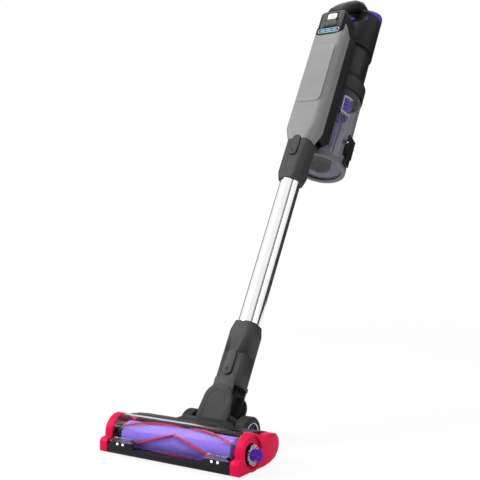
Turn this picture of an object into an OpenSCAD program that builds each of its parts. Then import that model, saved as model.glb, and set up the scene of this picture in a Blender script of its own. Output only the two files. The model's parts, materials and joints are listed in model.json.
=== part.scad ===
// Cordless stick vacuum: hand unit, wand and motorised floor head.
// The stick leans back from the floor head; the origin is the middle of the
// hand grip. Pieces of the stick are drawn along the stick's own axis:
// x across, n to the back of the stick, t up along it.

/* [Stance] */
// Lean of the stick back from upright, degrees
lean = 30.2; // [0:1:60]
// Distance of the stick's line in front of the wheel axle
stick_ahead = 3.8; // [1:0.1:6]
// Distance of the stick's foot below the wheel axle, along the stick
foot_rise = 6.5; // [4:0.5:9]

/* [Wand and neck] */
// Outer diameter of the metal wand
wand_d = 40; // [34:0.5:44]
// Wall of the metal wand
wand_wall = 1.5; // [1:0.1:3]
// Height on the stick where the wand leaves the neck
neck_top = 183; // [170:1:200]
// Height on the stick where the collar ends and the wand begins
collar_bottom = 486; // [400:1:600]
// Depth of wand hidden in each socket
socket_depth = 46; // [30:1:60]
// Plastic round the wand's sockets, at the flats
socket_wall = 2.5; // [2:0.1:4]
// Extra half-width of the sockets' sides
socket_side = 3.5; // [2:0.5:6]
// Corner radius of the neck and collar
socket_corner = 14; // [8:0.5:16]
// Height of the bevel at the open end of a socket
socket_bevel = 17; // [8:1:24]
// Width of the wand and neck release buttons
release_w = 17; // [12:0.5:20]
// Length of the wand and neck release buttons
release_l = 46; // [30:1:50]
// How far a release button stands out
release_proud = 3; // [2:0.5:5]
// Travel of a release button
release_travel = 1.2; // [0.6:0.1:1.2]
// Depth of the pocket under a release button
pocket_depth = 1.5; // [1.5:0.1:1.8]

/* [Hand unit] */
// Length of the collar on the stick
collar_l = 90; // [70:1:110]
// Width of the grey casing
casing_w = 73; // [60:1:80]
// Casing's front face, ahead of the stick's line
casing_front = 24.5; // [23:0.5:30]
// Joint between grey casing and black frame, behind the stick's line
casing_back = 7; // [4:0.5:12]
// Length of the grey casing up to the control panel
casing_l = 266; // [220:1:300]
// Length of the casing's tapered foot
casing_taper = 29; // [20:1:40]
// Corner radius of the casing
casing_corner = 15; // [8:0.5:18]
// Wall of casings
shell = 2.5; // [1.5:0.1:4]
// Height of the control panel
panel_h = 65; // [50:1:80]
// Width of the control panel
panel_w = 65; // [50:1:66]
// Corner radius of the control panel
panel_corner = 16; // [8:0.5:20]
// Thickness of the control panel
panel_t = 2.4; // [1.5:0.1:4]
// Width of the power button
power_w = 21; // [14:0.5:26]
// Height of the power button
power_h = 15; // [10:0.5:20]
// Travel of the power button
power_travel = 0.8; // [0.4:0.1:1]
// Width of the battery light bar
lights_w = 44; // [30:1:50]
// Height of the battery light bar
lights_h = 8; // [5:0.5:12]

/* [Handle] */
// Width of the handle
grip_w = 34; // [28:1:40]
// Thickness of the handle where the hand closes
grip_t = 21.5; // [16:0.5:24]
// Depth of the handle's rear post
post_d = 44; // [36:1:50]
// Height of the handle's top above the front of the pod's rim
handle_rise = 44.9; // [36:0.1:60]

/* [Motor pod] */
// Distance of the pod's axis behind the stick's line
pod_n = 84; // [80:1:95]
// Diameter of the motor housing
motor_d = 92; // [80:0.2:96]
// Diameter of the pod's shroud
shroud_d = 98; // [85:1:100]
// Length of the motor housing above the bin's band
motor_l = 88; // [80:1:110]
// Length of the shroud at its front
shroud_l = 89; // [80:1:96]
// Height of the filter cap above the pod's rim
cap_rise = 19; // [16:1:28]
// Slant of the filter cap's top
cap_tilt = 29; // [20:1:30]
// Slant of the rim under the filter cap
rim_tilt = 8; // [4:1:12]
// Width of the finger gap under the handle, across its round
finger_gap = 54; // [46:1:56]
// Diameter of the suction motor's can
motor_can_d = 52; // [40:1:60]
// Diameter of the suction motor's impeller
impeller_d = 56; // [40:1:60]
// Diameter of the impeller's shaft
shaft_d = 5; // [4:0.5:8]

/* [Dust bin] */
// Diameter of the bin's band
band_d = 107; // [100:1:110]
// Height of the bin's band
band_h = 34; // [24:1:40]
// Diameter of the clear bin
bin_d = 104; // [96:1:108]
// Length of the clear bin below its band
bin_l = 176; // [150:1:190]
// Wall of the clear bin
bin_wall = 2.2; // [1.5:0.1:3]
// Diameter of the bin's lid ring
lid_d = 112; // [106:1:116]
// Height of the lid ring
lid_h = 10; // [7:0.5:14]
// Upper diameter of the cyclone tube
cyclone_top_d = 56; // [44:1:64]
// Lower diameter of the cyclone tube
cyclone_low_d = 40; // [30:1:50]
// Length of the cyclone tube
cyclone_l = 130; // [100:1:140]
// Number of fins round the cyclone's top
fin_count = 18; // [8:1:24]
// Direction of the latch, degrees from the right towards the back
latch_turn = 0; // [0:1:18]
// Length of the bin latch
latch_l = 50; // [40:1:70]
// Width of the bin latch
latch_w = 26; // [14:1:30]
// How far the bin latch stands out from the bin
latch_proud = 10; // [8:0.5:15]

/* [Battery] */
// Diameter of a battery cell
cell_d = 18.4; // [18:0.1:21.5]
// Length of a battery cell
cell_l = 65; // [60:1:70]
// Gap between the battery and the control panel
battery_gap = 3; // [2:0.5:8]
// Number of cell rows up the casing
cell_rows = 3; // [1:1:3]

/* [Floor head] */
// Width of the floor head over its end caps
head_w = 268; // [220:2:320]
// Brush axis ahead of the wheel axle
brush_y = 106.4; // [100:0.2:112]
// Height of the middle of the window's curve
nose_z = 30.8; // [29:0.1:34]
// Drop of the brush axis below the middle of the window's curve
brush_drop = 3.3; // [2:0.1:4]
// Radius of the head's nose round the brush
nose_r = 28.5; // [27.5:0.1:31]
// Front of the bumper ahead of the wheel axle
bumper_y = 147; // [144:0.5:152]
// Rear of the chassis ahead of the wheel axle
chassis_rear = 31; // [30:0.5:40]
// Height of the chassis top behind the window
chassis_top = 48; // [46:0.5:54]
// Height of the sole above the floor
sole_z = 3.6; // [2:0.1:6]
// Width of each crimson end cap
cap_w = 15; // [10:0.5:20]
// How far the left cap's round end bulges out
cap_crown = 6; // [3:0.5:8]
// Radius of the dish in the right end cap
dish_r = 23.6; // [22:0.1:26]
// Wall of the clear brush window
window_wall = 2; // [1.5:0.1:3]
// How far the bumper's top dips between the lamps
bumper_dip = 4.6; // [3:0.2:6]
// How far the lamp housings stand above the bumper
lamp_rise = 4.6; // [3:0.2:6]
// Half width of a lamp housing
lamp_half = 24; // [18:1:26]
// Angle of the window's rear edge above the horizontal
window_rear = 62; // [50:1:75]
// Width of the suction mouth
mouth_w = 216; // [150:2:250]

/* [Brush] */
// Diameter of the brush roll's core
brush_d = 43; // [36:0.5:44]
// Height of the bristle strips
bristle_h = 3.5; // [2:0.1:4]
// Number of bristle strips
bristle_count = 4; // [2:1:6]
// Sweep of a bristle strip along half of the roll, degrees
bristle_sweep = 85; // [30:5:120]
// Turn of the first strip at the middle of the roll, from the top towards the front (degrees)
bristle_turn = 48; // [0:1:90]
// Reach of the edge brush past the end cap
edge_reach = 14; // [6:0.5:18]
// Diameter of the brush spindle
spindle_d = 8; // [6:0.5:10]
// Teeth of the motor's pulley
motor_teeth = 12; // [10:1:18]
// Teeth of the brush's pulley
brush_teeth = 24; // [18:1:30]
// Pitch of the belt's teeth
belt_pitch = 3; // [2:0.5:4]
// Width of the belt
belt_w = 8; // [5:0.5:10]

/* [Wheels and hinges] */
// Diameter of a rear wheel
wheel_d = 55; // [50:0.5:60]
// Width of a rear wheel
wheel_w = 22; // [16:0.5:26]
// Distance between the wheels' outer faces
wheel_track = 132; // [124:1:140]
// Radius of the wheel's hub ring
hub_r = 17.7; // [14:0.1:20]
// Number of spokes in a hub
spoke_count = 10; // [5:1:14]
// Diameter of the wheel axle
axle_d = 8; // [5:0.5:10]
// Height of the side swivel's axis on the stick
swivel_t = 34; // [32:0.5:38]
// Radius of the yoke's round top
yoke_r = 28; // [26:0.5:32]
// Half-width of the yoke's feet
yoke_foot = 31; // [30:0.5:33]
// Yoke's front face ahead of the stick's line
yoke_front = 29; // [28:0.5:32]
// Diameter of the swivel pins
swivel_pin_d = 10; // [6:0.5:12]
// Radius of the swivel's rear cover
cover_r = 27; // [24:0.5:29]
// Diameter of the corrugated hose
hose_d = 34; // [26:1:36]

/* [Fits] */
// Radial clearance of a running fit
running = 0.05; // [0.01:0.01:0.1]
// Gap between pieces that move past each other
gap = 0.4; // [0.3:0.05:0.6]
// Gap between still pieces that sit together
seat = 0.15; // [0.1:0.05:0.3]

/* [Hidden] */
$fn = 48;
soft_fn = 32;
eps = 0.01;
big = 400;

// Frame of the stick
axle_h = wheel_d / 2;
wand_r = wand_d / 2;
bore_r = wand_r - wand_wall;
socket_w = wand_d + 2 * (socket_wall + socket_side);
socket_f = wand_r + socket_wall;
tip_w = wand_d + 3.4;
tip_f = wand_r + 1.6;
neck_t0 = swivel_t + yoke_r + 4;
rim_h = socket_bevel + 1;
collar_top = collar_bottom + collar_l;
casing_t0 = collar_top + seat;
panel_t0 = casing_t0 + casing_l;
panel_t1 = panel_t0 + panel_h;
panel_mid = (panel_t0 + panel_t1) / 2;
head_top = panel_t1 + 4;
// Bin and pod, stacked upwards along the pod's axis
lid_t0 = casing_t0;
bin_t0 = lid_t0 + lid_h + seat;
bin_neck = 8;
band_t0 = bin_t0 + bin_l - bin_neck;
motor_t0 = band_t0 + band_h;
shroud_t0 = motor_t0 + motor_l;
rim_front = pod_n - shroud_d / 2;
function rim_t(n) = shroud_t0 + shroud_l + (n - rim_front) * tan(rim_tilt);
bin_r = bin_d / 2;
band_r = band_d / 2;
motor_r = motor_d / 2;
shroud_r = shroud_d / 2;
lid_r = lid_d / 2;
deck_t = 3;
scoop_r = finger_gap / 2;
scoop_n = rim_front - 6.5;
scoop_t = rim_t(rim_front) - 10;
handle_top = rim_t(rim_front) + handle_rise;
// Handle: middle line of the arch, as [n, t]
arch_foot = [-12, head_top + 3];
arch_low = [6, scoop_t - 12.2];
arch_high = [36, handle_top - 32];
cap_r = shroud_r + 0.5;
cap_edge = 16;
post_n0 = pod_n - 30;
post_n1 = post_n0 + post_d;
grip_at = (arch_low + arch_high) / 2;
arch_lean = atan2(arch_high[0] - arch_low[0], arch_high[1] - arch_low[1]);
// Handle grip in the floor head's own frame, then the whole model's shift
function stick_point(n, t) = [0,
  (n - stick_ahead) * cos(lean) + (t + foot_rise) * sin(lean),
  axle_h + (t + foot_rise) * cos(lean) - (n - stick_ahead) * sin(lean)];
origin = stick_point(grip_at[0], grip_at[1]);
// Floor head
brush_axis_z = nose_z - brush_drop;
cap_x = head_w / 2;
inner_x = cap_x - cap_w;
window_r = nose_r - window_wall;
bumper_top = sole_z + 15;
guide_top = bumper_top + 6.5;
tip_r = brush_d / 2 + bristle_h;
motor_y = -58;
motor_z = 27;
belt_x = -inner_x - belt_w - 1;
pulley_r = brush_teeth * belt_pitch / (2 * PI);
motor_pulley_r = motor_teeth * belt_pitch / (2 * PI);
belt_t = 1.4;
arm_x0 = yoke_foot + gap + 0.6;
arm_x1 = wheel_track / 2 - wheel_w - gap;
barrel_r = 13;
dark = "#3a3a3c";
black = "#1c1c1e";
crimson = "#d61f46";
violet = "#6f4ac0";

module at_origin() { translate(-origin) children(); }
module stick() {
  at_origin() translate([0, 0, axle_h]) rotate([-lean, 0, 0])
    translate([0, -stick_ahead, foot_rise]) children();
}
// Rounded outline: width w, front at -f, back at b, corner radius c
module rounded(w, f, b, c) {
  translate([-w / 2 + c, -f]) square([w - 2 * c, f + b]);
  translate([-w / 2, -f + c]) square([w, f + b - 2 * c]);
  for (x = [-1, 1], y = [-f + c, b - c]) translate([x * (w / 2 - c), y]) circle(c);
}
module bar(t0, h, w, f, b, c) { translate([0, 0, t0]) linear_extrude(h) rounded(w, f, b, c); }
// Slot-shaped outline standing on the stick's front, centred on t
module slot(w, l) {
  square([w, l - w], center = true);
  for (s = [-1, 1]) translate([0, s * (l - w) / 2]) circle(w / 2);
}
// Outline drawn on the stick's front view and pushed back from n0 to n0 + d
module from_front(n0, d) { translate([0, n0 + d, 0]) rotate([90, 0, 0]) linear_extrude(d) children(); }
// Outline in the side view (n or y across, t or z up) pushed across from x0 to x0 + d
module from_side(x0, d) { translate([x0, 0, 0]) rotate([90, 0, 90]) linear_extrude(d) children(); }
module rod_x(x0, l, y, z, r) { translate([x0, y, z]) rotate([0, 90, 0]) cylinder(h = l, r = r); }
module rod_n(n0, l, x, t, r) { translate([x, n0, t]) rotate([-90, 0, 0]) cylinder(h = l, r = r); }
module tube(t0, h, ro, ri) {
  translate([0, 0, t0]) difference() {
    cylinder(h = h, r = ro, $fn = 96);
    translate([0, 0, -1]) cylinder(h = h + 2, r = ri, $fn = 96);
  }
}
module at_pod() { translate([0, pod_n, 0]) children(); }

// ---- Hand unit ----
module casing_shape(w, f, c, t0, h) {
  intersection() {
    bar(t0, h, w, f, 60, c);
    translate([-big, -big, 0]) cube([2 * big, big + casing_back, 3 * big]);
  }
}
module casing_foot(inset) {
  hull() {
    translate([0, 0, casing_t0]) linear_extrude(eps)
      rounded(socket_w - 2 * inset, socket_f - inset, casing_back + 6, socket_corner - inset, $fn = soft_fn);
    translate([0, 0, casing_t0 + casing_taper]) linear_extrude(eps)
      rounded(casing_w - 2 * inset, casing_front - inset, casing_back + 16, casing_corner - inset, $fn = soft_fn);
  }
}
module head_window(grow) {
  from_front(-casing_front - 20, 80) translate([0, panel_t0 + panel_h]) {
    w = panel_w + 2 * grow;
    c = panel_corner + grow;
    translate([-w / 2, -panel_h - grow + c]) square([w, 2 * panel_h]);
    translate([-w / 2 + c, -panel_h - grow]) square([w - 2 * c, 2 * panel_h]);
    for (x = [-1, 1]) translate([x * (w / 2 - c), -panel_h - grow + c]) circle(c);
  }
}
// Front view of the head, with its round upper corners
module head_outline() {
  c = panel_corner + 2;
  from_front(-casing_front - 20, 120) {
    translate([-big, 0]) square([2 * big, head_top - c]);
    translate([-panel_w / 2 + c, 0]) square([panel_w - 2 * c, head_top]);
    for (x = [-1, 1]) translate([x * (panel_w / 2 - c), head_top - c]) circle(c);
  }
}
module front_casing() {
  cheek = 34;
  color("#8f8f91") stick() difference() {
    union() {
      intersection() {
        casing_foot(0);
        translate([-big, -big, 0]) cube([2 * big, big + casing_back, 3 * big]);
      }
      casing_shape(casing_w, casing_front, casing_corner, casing_t0 + casing_taper, casing_l - casing_taper + cheek);
      front_pad();
    }
    casing_foot(shell);
    release_pocket(wand_button_t, gap);
    casing_shape(casing_w - 2 * shell, casing_front - shell, casing_corner - shell,
      casing_t0 + casing_taper - eps, casing_l - casing_taper + 2 * cheek);
    translate([-big, casing_back - eps, 0]) cube([2 * big, big, 3 * big]);
    head_window(gap);
    // Cheeks fall towards the back
    translate([-big, -casing_front, panel_t0 + cheek - 2]) rotate([-36, 0, 0]) cube([2 * big, big, big]);
    // Pocket for the wand button, which laps the foot
    translate([0, 0, collar_top - 16]) from_front(-casing_front - 5, 8) slot(release_w + 2 * gap, release_l);
    // Air way
    translate([0, 0, casing_t0 - 1]) cylinder(h = 2 * shell, r = bore_r);
  }
}
// Raised pad on the front face: a long ramp at its top, a rounded fall at its foot
module front_pad() {
  pad_l = 148;
  pad_h = 1.8;
  pad_edge = 0.5;
  foot = panel_t0 - 28 - pad_l;
  top = foot + pad_l;
  face = -casing_front;
  intersection() {
    from_front(face - pad_h, pad_h + 5) translate([0, foot + pad_l / 2]) {
      square([casing_w - 19, pad_l - 24], center = true);
      square([casing_w - 41, pad_l], center = true);
      for (x = [-1, 1], y = [-1, 1]) translate([x * (casing_w / 2 - 20.5), y * (pad_l / 2 - 11)]) circle(11);
    }
    from_side(-casing_w / 2, casing_w) polygon([[face + 6, foot - 1], [face - pad_edge, foot - 1],
      [face - pad_h * 0.5, foot + 1.5], [face - pad_h * 0.75, foot + 5], [face - pad_h * 0.92, foot + 9],
      [face - pad_h, foot + 14], [face - pad_h, top - 20], [face - pad_edge, top + 1], [face + 6, top + 1]]);
  }
}
module rear_frame() {
  w = casing_w - 2;
  back = 46;
  n0 = casing_back + seat;
  color(black) stick() difference() {
    union() {
      intersection() {
        union() {
          bar(casing_t0 + casing_taper, panel_t0 + 22 - casing_t0 - casing_taper, w, 0, back, 7);
          hull() {
            bar(casing_t0, eps, socket_w - 2, 0, 24, 10, $fn = soft_fn);
            bar(casing_t0 + casing_taper, eps, w, 0, back, 10, $fn = soft_fn);
          }
        }
        translate([-big, n0, 0]) cube([2 * big, big, 3 * big]);
      }
      // Head block behind the control panel
      intersection() {
        union() {
          bar(panel_t0, panel_h - 8, panel_w - 2 * seat, casing_front - panel_t, 30, 9);
          hull() {
            bar(panel_t1 - 8, eps, panel_w - 2 * seat, casing_front - panel_t, 30, 9, $fn = soft_fn);
            bar(head_top, eps, panel_w - 16, casing_front - panel_t - 6, 24, 9, $fn = soft_fn);
          }
        }
        head_window(-seat);
        head_outline();
      }
    }
    // Channel for the air duct, open to the front
    translate([-w / 2 + shell + 3, 0, casing_t0 + 4]) cube([w - 2 * shell - 6, 20 + casing_back, panel_t0 - casing_t0 - 10]);
    // Room for the control board
    translate([-panel_w / 2 + 5, -casing_front + panel_t + 3, panel_t0 - 1]) cube([panel_w - 10, casing_front + 20, panel_h - 8]);
    // Nest of the bin, its band and the pod
    at_pod() translate([0, 0, casing_t0 - 20]) cylinder(h = band_t0 + band_h - casing_t0 + 20, r = band_r + gap, $fn = 96);
    at_pod() translate([0, 0, motor_t0 - 1]) cylinder(h = big, r = shroud_r + seat, $fn = 96);
    at_pod() translate([0, 0, casing_t0 - 20]) cylinder(h = lid_h + 22, r = lid_r + 1, $fn = 96);
    // Way of the air duct through the floor
    duct_way(1.5 + seat);
    // Air hole to the bin
    translate([-15, 10, band_t0 - 36]) cube([30, 40, 28]);
    translate([0, scoop_n, scoop_t]) rotate([0, 90, 0]) cylinder(h = 2 * big, r = scoop_r, center = true);
    // Window for the power button's plunger
    translate([-3, -casing_front, panel_t1 - 18]) cube([6, 8, 6]);
  }
}
module control_panel() {
  color("#101012") stick() difference() {
    intersection() {
      bar(panel_t0, panel_h, panel_w - 2 * seat, casing_front, 20, 9);
      from_front(-casing_front, panel_t - seat) translate([0, panel_mid]) {
        w = panel_w - 2 * seat;
        square([w - 2 * panel_corner, panel_h], center = true);
        square([w, panel_h - 2 * panel_corner], center = true);
        for (x = [-1, 1], y = [-1, 1])
          translate([x * (w / 2 - panel_corner), y * (panel_h / 2 - panel_corner)]) circle(panel_corner);
      }
    }
    from_front(-casing_front - 1, 2 * panel_t) power_outline(gap);
    from_front(-casing_front - 1, 1 + panel_t / 2) translate([0, panel_t0 + 11]) slot_across(lights_w + 2 * seat, lights_h + 2 * seat);
  }
}
module slot_across(w, h) {
  square([w - h, h], center = true);
  for (s = [-1, 1]) translate([s * (w - h) / 2, 0]) circle(h / 2);
}
module power_outline(grow) {
  c = 4 + grow;
  w = power_w + 2 * grow;
  h = power_h + 2 * grow;
  translate([0, panel_t1 - 8 - power_h / 2]) {
    square([w - 2 * c, h], center = true);
    square([w, h - 2 * c], center = true);
    for (x = [-1, 1], y = [-1, 1]) translate([x * (w / 2 - c), y * (h / 2 - c)]) circle(c);
  }
}
module power_button() {
  color("#d8d8da") stick() from_front(-casing_front - 1, panel_t + 0.8 - power_travel - gap) power_outline(0);
}
module battery_lights() {
  seg = (lights_w - 8) / 3;
  color("#35c6e8") stick() from_front(-casing_front - 0.2, panel_t / 2) translate([0, panel_t0 + 11])
    for (i = [-1 : 1]) translate([i * (seg + 1), 0]) slot_across(seg, lights_h - 3);
}
// One slice of the handle, square to the arch
module arch_slice(p, tilt, w, d) {
  translate([0, p[0], p[1]]) rotate([-tilt, 0, 0]) linear_extrude(eps) rounded(w, d / 2, d / 2, 8, $fn = soft_fn);
}
module handle_arch() {
  color(black) stick() difference() {
    union() {
      hull() {
        arch_slice(arch_foot - [0, 7], 0, grip_w + 6, grip_t + 2);
        arch_slice(arch_foot, arch_lean, grip_w + 4, grip_t + 1);
        arch_slice(arch_low, arch_lean, grip_w, grip_t);
      }
      hull() {
        arch_slice(arch_low, arch_lean, grip_w, grip_t);
        arch_slice(arch_high, arch_lean, grip_w, grip_t + 2);
      }
      hull() {
        arch_slice(arch_high, arch_lean, grip_w, grip_t + 2);
        translate([0, post_n0 + 10, handle_top - 14]) rotate([0, 90, 0]) linear_extrude(grip_w - 8, center = true) circle(13, $fn = soft_fn);
        translate([0, post_n1 - 14, handle_top - 14]) rotate([0, 90, 0]) linear_extrude(grip_w - 8, center = true) circle(13, $fn = soft_fn);
        translate([0, post_n1 - 14, handle_top - 16]) rotate([0, 90, 0]) linear_extrude(grip_w, center = true) circle(11, $fn = soft_fn);
        translate([0, post_n0 + 12, handle_top - 20]) rotate([0, 90, 0]) linear_extrude(grip_w, center = true) circle(12, $fn = soft_fn);
      }
      difference() {
        bar(shroud_t0 + shroud_l, handle_top - 18 - shroud_t0 - shroud_l, grip_w, -post_n0, post_n1, 8);
        deck_below(0);
      }
    }
    translate([-big, -big, head_top - 20]) cube([2 * big, 1.5 * big, 20]);
    grip_pad_shape(seat / 2);
  }
}
// Everything under the pod's slanted deck, raised by lift
module deck_below(lift) {
  translate([-big, rim_front, rim_t(rim_front) + lift]) rotate([rim_tilt, 0, 0]) translate([0, -big, -big]) cube([2 * big, 2 * big, big]);
}
module grip_pad_shape(grow) {
  mid = (arch_low + arch_high) / 2;
  translate([0, mid[0], mid[1]]) rotate([-arch_lean, 0, 0]) translate([0, grip_t / 2 - 1.2 - grow, -22 - grow])
    linear_extrude(44 + 2 * grow) translate([0, 1.2 + grow]) square([16 + 2 * grow, 2.4 + 2 * grow], center = true);
}
module grip_pad() { color("#2a2a2c") stick() grip_pad_shape(0); }
module release_outline(grow) { slot_across(12 + 2 * grow, 8 + 2 * grow); }
release_t = scoop_t;
wall_n = scoop_n + scoop_r - 2;
module filter_release() {
  color(violet) stick() from_front(wall_n - 2.5, 9) translate([0, release_t]) release_outline(0);
}

// ---- Motor pod ----
module finger_scoop(r) {
  translate([0, scoop_n - pod_n, scoop_t]) rotate([0, 90, 0]) cylinder(h = 2 * big, r = r, center = true);
}
// Flare of the handle's post, which the cap is cut round
module flare(lift) {
  w = grip_w / 2;
  back = post_n1 - 13 - pod_n;
  linear_extrude(3 * big) polygon([[-w - big * 0.575, back + lift - big], [-w, back + lift], [w, back + lift], [w + big * 0.575, back + lift - big]]);
}
module cap_dome(rise) {
  intersection() {
    cylinder(h = 3 * big, r = cap_r, $fn = 96);
    translate([0, 0, rim_t(pod_n)]) rotate([cap_tilt, 0, 0]) rotate_extrude($fn = 96) {
      translate([0, -60]) square([cap_r - cap_edge + 3, 60 + rise]);
      translate([0, -60]) square([cap_r + 3, 60 + rise - cap_edge]);
      translate([cap_r + 3 - cap_edge, rise - cap_edge]) circle(cap_edge);
    }
  }
}
module pod_shroud() {
  vents = 9;
  color("#242426") stick() at_pod() difference() {
    union() {
      intersection() {
        translate([0, 0, shroud_t0]) cylinder(h = big, r = shroud_r, $fn = 96);
        translate([0, -pod_n, 0]) deck_below(0);
      }
      // Shoulders beside the handle's post
      difference() {
        intersection() {
          cap_dome(cap_rise);
          translate([0, 0, shroud_t0 + 10]) cylinder(h = big, r = shroud_r, $fn = 96);
          flare(0);
        }
        translate([0, -pod_n, 0]) deck_below(-deck_t);
        translate([-grip_w / 2 - seat, -big, 0]) cube([grip_w + 2 * seat, 2 * big, 3 * big]);
      }
    }
    // Hollow below the deck, behind the finger gap's own wall
    difference() {
      intersection() {
        translate([0, 0, shroud_t0 - 1]) cylinder(h = big, r = shroud_r - shell, $fn = 96);
        translate([0, -pod_n, 0]) deck_below(-deck_t);
      }
      finger_scoop(scoop_r - 2 + deck_t);
      translate([-10, wall_n - pod_n - 4, release_t - 7]) cube([20, 16, 14]);
    }
    finger_scoop(scoop_r - 2);
    translate([-big, -big, rim_t(rim_front)]) cube([2 * big, big + scoop_n + scoop_r - 6 - pod_n, big]);
    translate([0, -pod_n, 0]) from_front(wall_n - 10, 19) translate([0, release_t]) release_outline(gap);
    // Vents under the filter
    for (i = [1 : vents]) rotate([0, 0, 90 + (i - (vents + 1) / 2) * 24]) translate([34, 0, shroud_t0 + shroud_l - 20]) cylinder(h = big, r = 3);
  }
}
module motor_housing() {
  color("#262628") stick() at_pod() difference() {
    translate([0, 0, motor_t0]) cylinder(h = motor_l, r = motor_r, $fn = 96);
    translate([0, 0, motor_t0 - 1]) cylinder(h = motor_l - shell + 1, r = motor_r - shell, $fn = 96);
    translate([0, 0, motor_t0]) cylinder(h = motor_l + 1, r = motor_can_d / 2 - 6, $fn = 96);
  }
}
motor_can_t0 = motor_t0 + 26;
module suction_motor() {
  can_l = shroud_t0 - shell - motor_can_t0;
  color("#9a9ca2") stick() at_pod() difference() {
    union() {
      translate([0, 0, motor_can_t0]) cylinder(h = can_l, r = motor_can_d / 2);
      translate([0, 0, motor_can_t0 + 4]) cylinder(h = 4, r = motor_r - shell);
    }
    translate([0, 0, motor_can_t0 - 1]) cylinder(h = can_l - 10, r = shaft_d / 2 + running);
    for (a = [0 : 60 : 300]) rotate([0, 0, a]) translate([motor_can_d / 2 + 7, 0, motor_can_t0]) cylinder(h = 20, r = 4);
  }
}
module impeller() {
  blades = 9;
  t0 = motor_t0 + 8;
  h = 12;
  color("#c9ccd2") stick() at_pod() difference() {
    union() {
      translate([0, 0, t0]) cylinder(h = 2, r = impeller_d / 2);
      translate([0, 0, t0]) cylinder(h = h, r = 8);
      for (i = [0 : blades - 1]) rotate([0, 0, i * 360 / blades]) translate([6, -0.75, t0]) cube([impeller_d / 2 - 7, 1.5, h]);
      translate([0, 0, t0]) cylinder(h = motor_can_t0 - t0 + 20, r = shaft_d / 2);
    }
  }
}
// Filter: the cap slides straight back off the rim
module cap_notch(grow) {
  translate([-grip_w / 2 - grow, -big, 0]) cube([grip_w + 2 * grow, big + post_n1 - pod_n + grow, 3 * big]);
}
module above_rim(lift) {
  translate([-big, rim_front - pod_n, rim_t(rim_front) + lift]) rotate([rim_tilt, 0, 0]) translate([0, -big, 0]) cube([2 * big, 3 * big, big]);
}
module filter_cap() {
  color(violet) stick() at_pod() difference() {
    intersection() {
      above_rim(gap);
      cap_dome(cap_rise);
    }
    intersection() {
      cylinder(h = 3 * big, r = shroud_r - 3.2, $fn = 96);
      cap_dome(cap_rise - 7);
    }
    cap_notch(gap + 0.4);
    flare(gap);
  }
}
module filter_element() {
  pleats = 15;
  color("#e6e2ee") stick() at_pod() difference() {
    intersection() {
      above_rim(gap + 0.6);
      cap_dome(cap_rise - 7 - seat);
      cylinder(h = 3 * big, r = shroud_r - 3.2 - seat, $fn = 96);
    }
    cap_notch(4);
    flare(5);
    for (i = [0 : pleats - 1]) translate([-shroud_r, -18 + i * 4.4, rim_t(pod_n - 18 + i * 4.4) + 9]) cube([2 * shroud_r, 1.6, 40]);
  }
}

// ---- Dust bin ----
module bin_band() {
  color("#303032") stick() at_pod() difference() {
    translate([0, 0, band_t0]) cylinder(h = band_h - seat, r = band_r, $fn = 96);
    translate([0, 0, band_t0 - 1]) cylinder(h = bin_neck + 3, r = bin_r + seat, $fn = 96);
    translate([0, 0, band_t0]) cylinder(h = band_h + 1, r = motor_r - 8, $fn = 96);
    translate([0, 0, band_t0 + bin_neck]) cylinder(h = band_h - bin_neck - 4, r = band_r - shell, $fn = 96);
  }
}
// Just short of opposite, so that the open lid clears the collar
hinge_turn = latch_turn + 177;
hinge_rad = lid_r + 4;
hinge_t = lid_t0 + lid_h / 2;
hinge_pin_r = 2;
latch_rad = bin_r + 4.6;
latch_t = lid_t0 + 52;
latch_low = lid_t0 + lid_h + 14;
latch_pin_r = 1.8;
// Frame at a direction round the bin: x outwards, n tangential
module round_bin(turn) { at_pod() rotate([0, 0, turn]) children(); }
module bin_shell() {
  ear_l = 5;
  knuckle_l = 13;
  color("#b9b6c4", 0.4) stick() difference() {
    union() {
      at_pod() translate([0, 0, bin_t0]) cylinder(h = bin_l, r = bin_r, $fn = 96);
      // Hinge ears
      for (s = [-1, 1]) round_bin(hinge_turn) translate([0, s * (knuckle_l / 2 + ear_l / 2 + gap), 0]) {
        translate([bin_r - 3, -ear_l / 2, bin_t0 + 1]) cube([hinge_rad + 3.6 - bin_r + 3, ear_l, 9]);
        translate([hinge_rad - 2, -ear_l / 2, hinge_t]) cube([5.6, ear_l, bin_t0 + 2 - hinge_t]);
        translate([hinge_rad, ear_l / 2, hinge_t]) rotate([90, 0, 0]) cylinder(h = ear_l, r = 3.6);
      }
      // Latch ears
      for (s = [-1, 1]) round_bin(latch_turn) translate([0, s * (latch_w / 2 + 1.6 + gap) - 1.6, 0]) {
        translate([bin_r - 5, 0, latch_t - 4]) cube([latch_rad - bin_r + 5, 3.2, 8]);
        translate([latch_rad, 3.2, latch_t]) rotate([90, 0, 0]) cylinder(h = 3.2, r = 4);
      }
    }
    at_pod() translate([0, 0, bin_t0 - 1]) cylinder(h = bin_l + 2, r = bin_r - bin_wall, $fn = 96);
    round_bin(hinge_turn) translate([hinge_rad, 30, hinge_t]) rotate([90, 0, 0]) cylinder(h = 60, r = hinge_pin_r + eps);
    round_bin(latch_turn) translate([latch_rad, 30, latch_t]) rotate([90, 0, 0]) cylinder(h = 60, r = latch_pin_r + eps);
    // Air hole from the duct
    translate([-14, 0, band_t0 - 34]) cube([28, 50, 24]);
  }
}
module lid_hinge_pin() {
  color("#b8bac0") stick() round_bin(hinge_turn) translate([hinge_rad, 12, hinge_t]) rotate([90, 0, 0]) cylinder(h = 24, r = hinge_pin_r);
}
module latch_pin() {
  l = latch_w + 2 * gap + 6.4;
  color("#b8bac0") stick() round_bin(latch_turn) translate([latch_rad, l / 2, latch_t]) rotate([90, 0, 0]) cylinder(h = l, r = latch_pin_r);
}
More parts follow.
